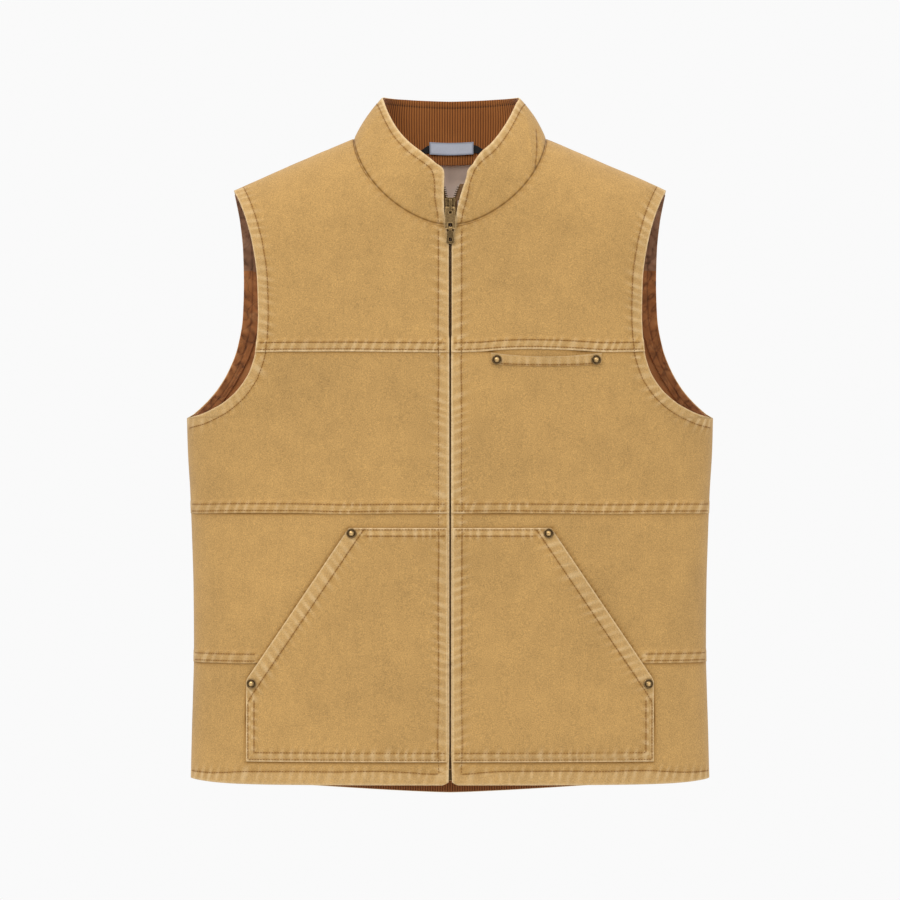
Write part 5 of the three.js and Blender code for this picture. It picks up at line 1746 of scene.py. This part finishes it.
edge_z = np.arange(-UNDERARM + 0.4, ARMHOLE_TOP - 1, 0.5)
edge_x, edge_z = resampled(armhole(1, edge_z), edge_z, 1.3)
facing_wide = mix(FACING_WIDTH, 17, soft((edge_z + 270) / 90))
away = np.linspace(1, -0.06, 16)
strips = [set_off(edge_x, edge_z, -step * facing_wide) for step in away]
strip_x = np.minimum(np.stack([strip[0] for strip in strips], 1), CHEST_HALF - 1.6)
strip_z = np.stack([strip[1] for strip in strips], 1)
strip_z = np.minimum(strip_z, shoulder_line(strip_x) - 0.5)
for word, sign in SIDES.items():
    at, out = surface(1, sign * strip_x, strip_z)
    u = away[None, :] * facing_wide[:, None]
    v = np.broadcast_to(1.3 * np.arange(len(edge_x))[:, None], strip_x.shape)
    calm = np.sin(math.pi * np.clip(u / facing_wide[:, None], 0, 1)) ** 0.5
    ruck = noise_sheet((v + 0.5 * u) / 6, u / 14 + 3, 90 + sign)
    ruck = ruck + 0.6 * noise_sheet((v - 0.4 * u) / 3.4, u / 9, 94 + sign)
    near_seam = np.exp(-(((u - facing_wide[:, None] * 0.52) / 0.6) ** 2))
    crack = np.exp(-((noise_sheet((v + 0.7 * u) / 8, (u - 0.3 * v) / 13, 97 + sign) / 0.085) ** 2))
    crack = crack + np.exp(-((noise_sheet((v - 0.5 * u) / 13 + 9, u / 16 + 5, 99 + sign) / 0.06) ** 2))
    # The seam, the cracks and the crinkle valleys are darkened with painted shade, and the crinkles also get
    # pucker light and shade.
    groove = np.clip(0.75 * near_seam + 0.75 * crack + 0.3 * np.clip(-ruck, 0, 1), 0, 1)
    extra = mark_grid(groove, 0.3 * ruck)
    height = 1.2 + (0.7 * ruck - 0.4 * crack) * calm - 0.4 * near_seam
    places = np.stack([u, v], -1)
    made = cloth_inside(f"facing_{word}", at, out, INSIDE - 0.9, LINING - 1, height, places, extra)
    for polygon in made.data.polygons:
        if polygon.center.z > -LINING_YOKE * MM:
            polygon.material_index = 2
    finish_sheet(made, "brown_facing", [rust, rust, umber], f"armhole_facing_{word}", "back_panel")

z = np.linspace(0.6, HEM_FACING - 0.3, 6)
x = np.linspace(-half_width(-HEM) + 1.5, half_width(-HEM) - 1.5, 220)
x, rise = np.meshgrid(x, z)
rows = back_hem(x) + rise
at, out = surface(1, x, rows)
u, v = cloth_place(x, rows)
made = cloth_inside("hem_facing", at, out, INSIDE, CANVAS, 0, np.stack([u, v], -1))
finish_sheet(made, "brown_facing", [dark_tape, dark_tape], "back_hem_facing", "back_panel")

# Collar
collar_lines = [collar_line(1), collar_line(-1)]
degrees = np.linspace(0, 180, 181)
shares = -0.03 + 1.03 * spaced(56, 2.6, 12, fine=1.2, coarse=2)
at, out = collar_sheet(degrees, shares)
u, v = grid_lengths(at)
rim = [collar_spot(sign, np.linspace(0, 180, 420), 1.0)[0] for sign in (1, -1)]
up = np.linspace(0, 1, 80)
fronts = [collar_spot(sign, 0.0, up)[0] for sign in (1, -1)]
# The collar's foot seam and a fold near its front, darkened with painted shade.
foot_lines = []
for sign in (1, -1):
    foot, foot_out = collar_spot(sign, np.linspace(0, 180, 520), 0.012)
    foot_lines.append(SeamLine(foot, foot_out, 35, swell=0.07, spread=6, groove=1.6, sewn=False))
t = np.linspace(0, 1, 60)
fold, fold_out = collar_spot(1, mix(81, 63, t) + 3 * t * (1 - t), mix(0.36, 0.01, t))
foot_lines.append(SeamLine(fold, fold_out, 36, swell=0.1, spread=4, groove=1.45, sewn=False))
places = np.stack([u, v], -1)
made = cloth("collar", at, out, 0, CANVAS, places, collar_lines + foot_lines, rim + fronts, wear_width=2.3)
finish_sheet(made, "canvas", [canvas, cord], "collar_shell", "front_yoke_left", "back_panel")
sewn_lines += collar_lines

cord_lift = -CANVAS - GAP
degrees = np.linspace(14, 180, 210)
shares = np.concatenate([np.linspace(0.02, 0.79, 8), np.linspace(0.84, 0.93, 5), [1]])
at, out = collar_sheet(degrees, shares, 0.14)
u, v = grid_lengths(at)
ring = np.concatenate([degrees, degrees[-2::-1]])
u = upright_lengths(at, u, ring)
worn = noise_sheet(u / 30, v / 22, 55)
# The stitched row near the top is darkened with painted shade; the worn noise lifts the pile and also makes
# it paler where raised and darker where sunk.
top_row = np.exp(-(((shares[:, None] - 0.885) * 60 / 0.9) ** 2))
extra = mark_grid(0.8 * top_row, 0.15 * worn)
height = 0.4 + 0.3 * worn - 0.5 * top_row
places = np.stack([u, v], -1)
made = cloth_inside("corduroy_collar", at, out, cord_lift, CORDUROY - 0.55, height, places, extra)
finish_sheet(made, "corduroy", [cord, cord], "collar_lining", "collar_shell")

# Label and hanger loop
on_cord = cord_lift - CORDUROY - GAP - 0.1
COLLAR_HEIGHT = COLLAR_RISE + BACK_NECK_DROP
collar_angles = np.linspace(120, 180, 400)


def collar_across(x, share):
    """Points of the collar's outer face at places across the middle of the back."""
    x, share = np.broadcast_arrays(np.asarray(x, float), np.asarray(share, float))
    at = np.zeros(x.shape + (3,))
    out = np.zeros(x.shape + (3,))
    for spot in np.ndindex(x.shape):
        sign = -1 if x[spot] < 0 else 1
        line = np.abs(collar_place(sign, collar_angles, np.full(400, share[spot]))[:, 0])
        angle = np.interp(-abs(x[spot]), -line, collar_angles)
        at[spot], out[spot] = collar_spot(sign, angle, share[spot])
    return at, out


t = np.linspace(0, 1, 81)
rise = np.linspace(0, 1, 29)
across_grid, rise_grid = np.meshgrid(t, rise)
x = (across_grid - 0.5) * LABEL_WIDTH + 1.7
at, out = collar_across(x, 0.06 + rise_grid * LABEL_HEIGHT / COLLAR_HEIGHT)
u = across_grid * LABEL_WIDTH
v = rise_grid * LABEL_HEIGHT
frame_line = np.minimum(np.minimum(u, LABEL_WIDTH - u), np.minimum(v, LABEL_HEIGHT - v))
frame_groove = 0.75 * np.exp(-(((frame_line - 0.6) / 0.7) ** 2))
extra = mark_grid(frame_groove, wear=0.35 * soft(frame_line - 1.6))
ripple = 0.18 * np.sin(u / 7) * np.sin(v / 4)
on_loop = on_cord - LOOP_THICK - GAP
made = cloth_inside("label", at, out, on_loop, LABEL_THICK - 0.4, ripple, np.stack([u, v], -1), extra)
finish_sheet(made, "label", [label_cloth, label_cloth], "neck_label", "hanger_loop")

# share of the label's width across, shares up the collar of the strap's two edges
LOOP_ROWS = [
    (-0.66, 0.05, 0.12),
    (-0.45, 0.085, 0.225),
    (-0.2, 0.1, 0.19),
    (0.3, 0.1, 0.19),
    (0.53, 0.085, 0.225),
    (0.78, 0.05, 0.12),
]
t, w = np.meshgrid(np.linspace(-0.66, 0.78, 90), np.linspace(0, 1, 8))
at, out = collar_across(t * LABEL_WIDTH, mix(curve(LOOP_ROWS, 1)(t), curve(LOOP_ROWS, 2)(t), w))
places = np.stack([t * LABEL_WIDTH, w * LOOP_WIDTH], -1)
made = cloth_inside("hanger", at, out, on_cord, LOOP_THICK - 0.3, 0, places)
finish(made, [loop_cloth, loop_cloth], ["hanger_loop"])
del made["cut"]

# Chest welt
def welt_curve(t):
    """Place across the welt, its bow, foot and head, at shares of its width."""
    along = 2 * t - 1
    bow = 1 - along * along
    foot = -YOKE_SEAM - GAP - WELT_HEIGHT - 1.6 - 0.5 * WELT_SAG * bow
    return WELT_CENTRE + along * WELT_HALF, bow, foot, -YOKE_SEAM - GAP - 0.8 - WELT_SAG * bow


rises = np.concatenate([np.linspace(0, 0.78, 8), np.linspace(0.84, 1, 5)])
rise, t = np.meshgrid(rises, np.linspace(0, 1, 90), indexing="ij")
x, dip, foot, head = welt_curve(t)
z = mix(foot, head, rise)
at, out = surface(-1, x, z)
stand = GAP + CANVAS + WELT_STAND * rise * dip + drape(-1, x, z) - 0.4 * (1 - soft(rise * 4))
line_x, _, foot, _ = welt_curve(np.linspace(0.03, 0.97, 150))
line_at, line_out = surface(-1, line_x, foot + 1.6)
line_at = line_at + line_out * (GAP + CANVAS + drape(-1, line_x, foot + 1.6))[:, None]
welt_line = SeamLine(line_at, line_out, 40, swell=0.16, spread=9, band=-1)
head_x, head_dip, _, head = welt_curve(np.linspace(0, 1, 150))
head_at, head_out = surface(-1, head_x, head)
head_edge = head_at + head_out * (GAP + CANVAS + WELT_STAND * head_dip - 0.3)[:, None]
u, v = cloth_place(x, z)
made = cloth("welt", at, out, stand, CANVAS, np.stack([u, v], -1), [welt_line], [head_edge], wear_width=0.9)
finish_sheet(made, "canvas", [canvas, canvas], "chest_welt", "front_chest_left", held="stretched")
sewn_lines.append(welt_line)

made = stitch_mesh("topstitching", sewn_lines)
finish(made, [thread])

# Rivets
# radius share, height share, rubbed bright with painted highlight
RIVET_PROFILE = [
    (0.88, -0.12, 0.05),
    (0.97, 0.08, 0.15),
    (1.0, 0.26, 0.16),
    (0.97, 0.44, 0.26),
    (0.9, 0.55, 0.24),
    (0.82, 0.53, 0.1),
    (0.74, 0.4, 0.02),
    (0.68, 0.32, 0.0),
    (0.63, 0.36, 0.05),
    (0.57, 0.6, 0.12),
    (0.47, 0.86, 0.28),
    (0.34, 1.06, 0.62),
    (0.2, 1.2, 1.0),
    (0.07, 1.26, 1.0),
]


def rivet(name, x, z, lift):
    at, out = surface(-1, x, z)
    run = unit(np.cross([0, 0, 1], out))
    up = np.cross(out, run)
    centre = at + out * (lift + float(drape(-1, x, z)))
    turn = np.linspace(0, 2 * math.pi, RIVET_SIDES, endpoint=False)
    spokes = np.cos(turn)[:, None] * run + np.sin(turn)[:, None] * up
    points = [
        centre + RIVET_RADIUS * radius * spokes + out * RIVET_HEIGHT * height
        for radius, height, _ in RIVET_PROFILE
    ]
    marks = np.repeat([[rubbed, 0, 0.5] for _, _, rubbed in RIVET_PROFILE], RIVET_SIDES, axis=0)
    return rods(name, points, len(RIVET_PROFILE), RIVET_SIDES, marks)


on_pocket = POCKET_LIFT + 0.5 + GAP
rivet_rows = [
    ("rivet_pocket_left_top", POCKET_TOP_HALF - 3, -POCKET_TOP - 5.6, on_pocket),
    ("rivet_pocket_left_side", POCKET_SIDE_HALF - 6.6, -POCKET_CORNER - 3, on_pocket),
    ("rivet_pocket_right_top", 3 - POCKET_TOP_HALF, -POCKET_TOP - 5.6, on_pocket),
    ("rivet_pocket_right_side", 6.6 - POCKET_SIDE_HALF, -POCKET_CORNER - 3, on_pocket),
    ("rivet_chest_inner", WELT_CENTRE - WELT_HALF + 6, -YOKE_SEAM - 8.5, LAP + GAP + 0.3),
    ("rivet_chest_outer", WELT_CENTRE + WELT_HALF - 6, -YOKE_SEAM - 8.5, LAP + GAP + 0.3),
]
for node, *spot in rivet_rows:
    finish(rivet(node + "_cap", *spot), [rivet_brass], [node])

# Zip
rim_front = collar_rim(1, 0.0)
neck_front = surface(-1, 0, -NECK_DROP)[0]


def zip_face(z):
    z = np.asarray(z, float)
    below = surface(-1, 0 * z, z)[0][..., 1]
    above = mix(neck_front[1], rim_front[1], (z + NECK_DROP) / (rim_front[2] + NECK_DROP))
    return np.where(z < -NECK_DROP, below, above)


OPEN_FOOT = -SLIDER_TOP - 0.18 * SLIDER_LENGTH
OPEN_TOP = -NECK_DROP + COLLAR_RISE
ZIP_FOOT = -HEM + HEM_CORNER
BOX_TOP = ZIP_FOOT + 0.69 * SLIDER_LENGTH
CHAIN_END = -SLIDER_TOP - 0.83 * SLIDER_LENGTH


def spread(sign, z):
    edge = front_edge(sign, z) - front_edge(sign, OPEN_FOOT)
    start = 0.82 * CHAIN_HALF + sign * ZIP_CENTRE
    return start + np.maximum(0, edge) * 0.85 + np.maximum(0, z - OPEN_FOOT) * (0.12 if sign > 0 else 0.22)


# reach from the tape towards the middle, half height, half depth of one tooth
TOOTH_ROWS = [(0, 0.5, 1.28), (0.55, 0.52, 1.24), (0.8, 0.4, 1.0), (0.9, 0.66, 0.95), (1.0, 0.5, 0.8)]


def teeth(name, spots, replaced):
    """Rows of shaped teeth. spots are (x at the tape, x at the tip, z)."""
    shape = []
    for share, high, deep in TOOTH_ROWS:
        for k in range(TOOTH_SIDES):
            turn = 2 * math.pi * (k + 0.5) / TOOTH_SIDES
            c, s = math.cos(turn), math.sin(turn)
            shape.append((share, deep * np.sign(c) * abs(c) ** 0.6, high * np.sign(s) * abs(s) ** 0.6))
    shape = np.array(shape)
    spots = np.array(spots)
    face = zip_face(spots[:, 2]) + CHAIN_SET_BACK + CHAIN_THICK / 2
    points = np.empty((len(spots), len(shape), 3))
    points[..., 0] = mix(spots[:, :1], spots[:, 1:2], shape[None, :, 0])
    points[..., 1] = face[:, None] + shape[None, :, 1]
    points[..., 2] = spots[:, 2:3] + shape[None, :, 2]
    made = rods(name, points, len(TOOTH_ROWS), TOOTH_SIDES)
    finish(made, [teeth_brass], replaced)


closed = []
z = BOX_TOP + 1.2
while z < CHAIN_END - 0.8:
    closed.append((ZIP_CENTRE + CHAIN_HALF, ZIP_CENTRE - 1.2, z))
    closed.append((ZIP_CENTRE - CHAIN_HALF, ZIP_CENTRE + 1.2, z + TOOTH_PITCH / 2))
    z += TOOTH_PITCH
teeth("closed_teeth", closed, ["zipper_chain"])
for word, sign in SIDES.items():
    spots = []
    for i in range(int((OPEN_TOP - OPEN_FOOT) / TOOTH_PITCH)):
        z = OPEN_FOOT + (i + 0.5) * TOOTH_PITCH
        edge = float(spread(sign, z))
        spots.append((sign * (edge + TOOTH_PITCH), sign * (edge - TOOTH_PITCH / 2), z))
    teeth(f"open_teeth_{word}", spots, [f"zipper_teeth_{word}"])

    low = np.arange(BOX_TOP + GAP, -SLIDER_TOP - 1.12 * SLIDER_LENGTH, 3)
    high = np.arange(-SLIDER_TOP - 0.94 * SLIDER_LENGTH, OPEN_TOP + TOOTH_PITCH, 1.2)
    z = np.concatenate([low, high])
    below = 0.35 + sign * ZIP_CENTRE
    above = spread(sign, z) + 0.3 * TOOTH_PITCH
    inner_x = np.where(z <= OPEN_FOOT, below, above)
    width = TAPE_WIDTH * mix(1, 0.62, soft((z + NECK_DROP + TAPE_WIDTH) / (0.65 * TAPE_WIDTH)))
    x = inner_x[:, None] + width[:, None] * np.linspace(0, 1, 7)[None, :]
    rows = np.broadcast_to(z[:, None], x.shape)
    y = zip_face(rows) + CHAIN_SET_BACK + CHAIN_THICK / 2 - TAPE_THICK / 2
    at = np.stack([sign * x, y, rows], -1)
    out = np.broadcast_to(np.array([0.0, -1.0, 0.0]), at.shape)
    made = cloth(f"tape_{word}", at, out, 0.0, TAPE_THICK, np.stack([x, rows], -1))
    tooth_row = f"zipper_teeth_{word}"
    finish_sheet(made, "zip_tape", [tape, tape], f"zipper_tape_{word}", tooth_row, held="stretched")

for node in ("zipper_slider", "zipper_box", "pull_plate", "pull_tab"):
    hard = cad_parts[node]
    bevel = hard.modifiers.new("worn edges", "BEVEL")
    bevel.width = 0.00018
    bevel.segments = 2
    bevel.limit_method = "ANGLE"
    for place in hard.material_slots:
        place.link = "OBJECT"
        place.material = brass

# Floor, light and camera
floor_mesh = bpy.data.meshes.new("floor")
turn = np.linspace(0, 2 * math.pi, 128, endpoint=False)
floor_mesh.from_pydata(
    [(1.6 * math.cos(a), 1.6 * math.sin(a), -0.95) for a in turn], [], [list(range(128))]
)
floor = bpy.data.objects.new("floor", floor_mesh)
bpy.context.scene.collection.objects.link(floor)
floor_material, m, shader = new_material("pale_floor")
shader.inputs["Base Color"].default_value = (0.7, 0.7, 0.7, 1)
shader.inputs["Roughness"].default_value = 0.9
floor_mesh.materials.append(floor_material)

world = bpy.data.worlds.new("pale_studio")
bpy.context.scene.world = world
world.use_nodes = True
backdrop = world.node_tree.nodes["Background"]
backdrop.inputs["Color"].default_value = (0.955, 0.955, 0.955, 1)
backdrop.inputs["Strength"].default_value = 1
studio = Maker(world.node_tree)
sky = world.node_tree.nodes.new("ShaderNodeTexCoord").outputs["Generated"]
_, _, height = studio.split(sky)
panels = studio.noise(sky, 2.4, 1)
from_above = studio.between(height, -0.5, 0.6, 0.25, 1.15)
glow = studio.math("MULTIPLY", from_above, studio.between(panels, 0.42, 0.56, 0.25, 1.25))
rays = world.node_tree.nodes.new("ShaderNodeLightPath").outputs


def mixed(share, first, second):
    node = world.node_tree.nodes.new("ShaderNodeMixShader")
    for value, socket in zip((share, first, second), node.inputs):
        studio.join(value, socket)
    return node.outputs[0]


def glowing(strength):
    node = world.node_tree.nodes.new("ShaderNodeBackground")
    node.inputs["Color"].default_value = (1, 1, 1, 1)
    studio.join(strength, node.inputs["Strength"])
    return node.outputs[0]


lit = glowing(studio.between(height, -0.9, 0.9, 0.34, 1.32))
unseen = mixed(rays["Is Glossy Ray"], lit, glowing(glow))
seen = mixed(rays["Is Camera Ray"], unseen, backdrop.outputs[0])
studio.join(seen, world.node_tree.nodes["World Output"].inputs["Surface"])


def softbox(name, place, size, watts):
    lamp = bpy.data.lights.new(name, "AREA")
    lamp.shape = "RECTANGLE"
    lamp.size, lamp.size_y = size
    lamp.energy = watts
    thing = bpy.data.objects.new(name, lamp)
    bpy.context.scene.collection.objects.link(thing)
    thing.location = place
    thing.rotation_euler = (Vector((0, 0, -0.33)) - Vector(place)).to_track_quat("-Z", "Y").to_euler()


softbox("key_light", (-1.2, -1.55, 1.6), (1.2, 1.2), 22.5)
softbox("fill_light", (1.9, -1.6, 0.5), (1.6, 1.6), 5)
softbox("back_light", (0.4, 2.2, 1.2), (1.6, 1.6), 10)

VIEW_MIDDLE = -0.332
VIEW_DISTANCE = 8
FRAME_WIDTH = 0.9585
FRAME_PLANE = -0.025
camera_data = bpy.data.cameras.new("photo_camera")
camera_data.sensor_width = 36
camera_data.lens = 36 * VIEW_DISTANCE / FRAME_WIDTH
camera_data.clip_end = 40
camera = bpy.data.objects.new("photo_camera", camera_data)
bpy.context.scene.collection.objects.link(camera)
camera.location = (0, FRAME_PLANE - VIEW_DISTANCE, VIEW_MIDDLE)
camera.rotation_euler = (math.pi / 2, 0, 0)
bpy.context.scene.camera = camera
bpy.context.scene.view_settings.view_transform = "Standard"
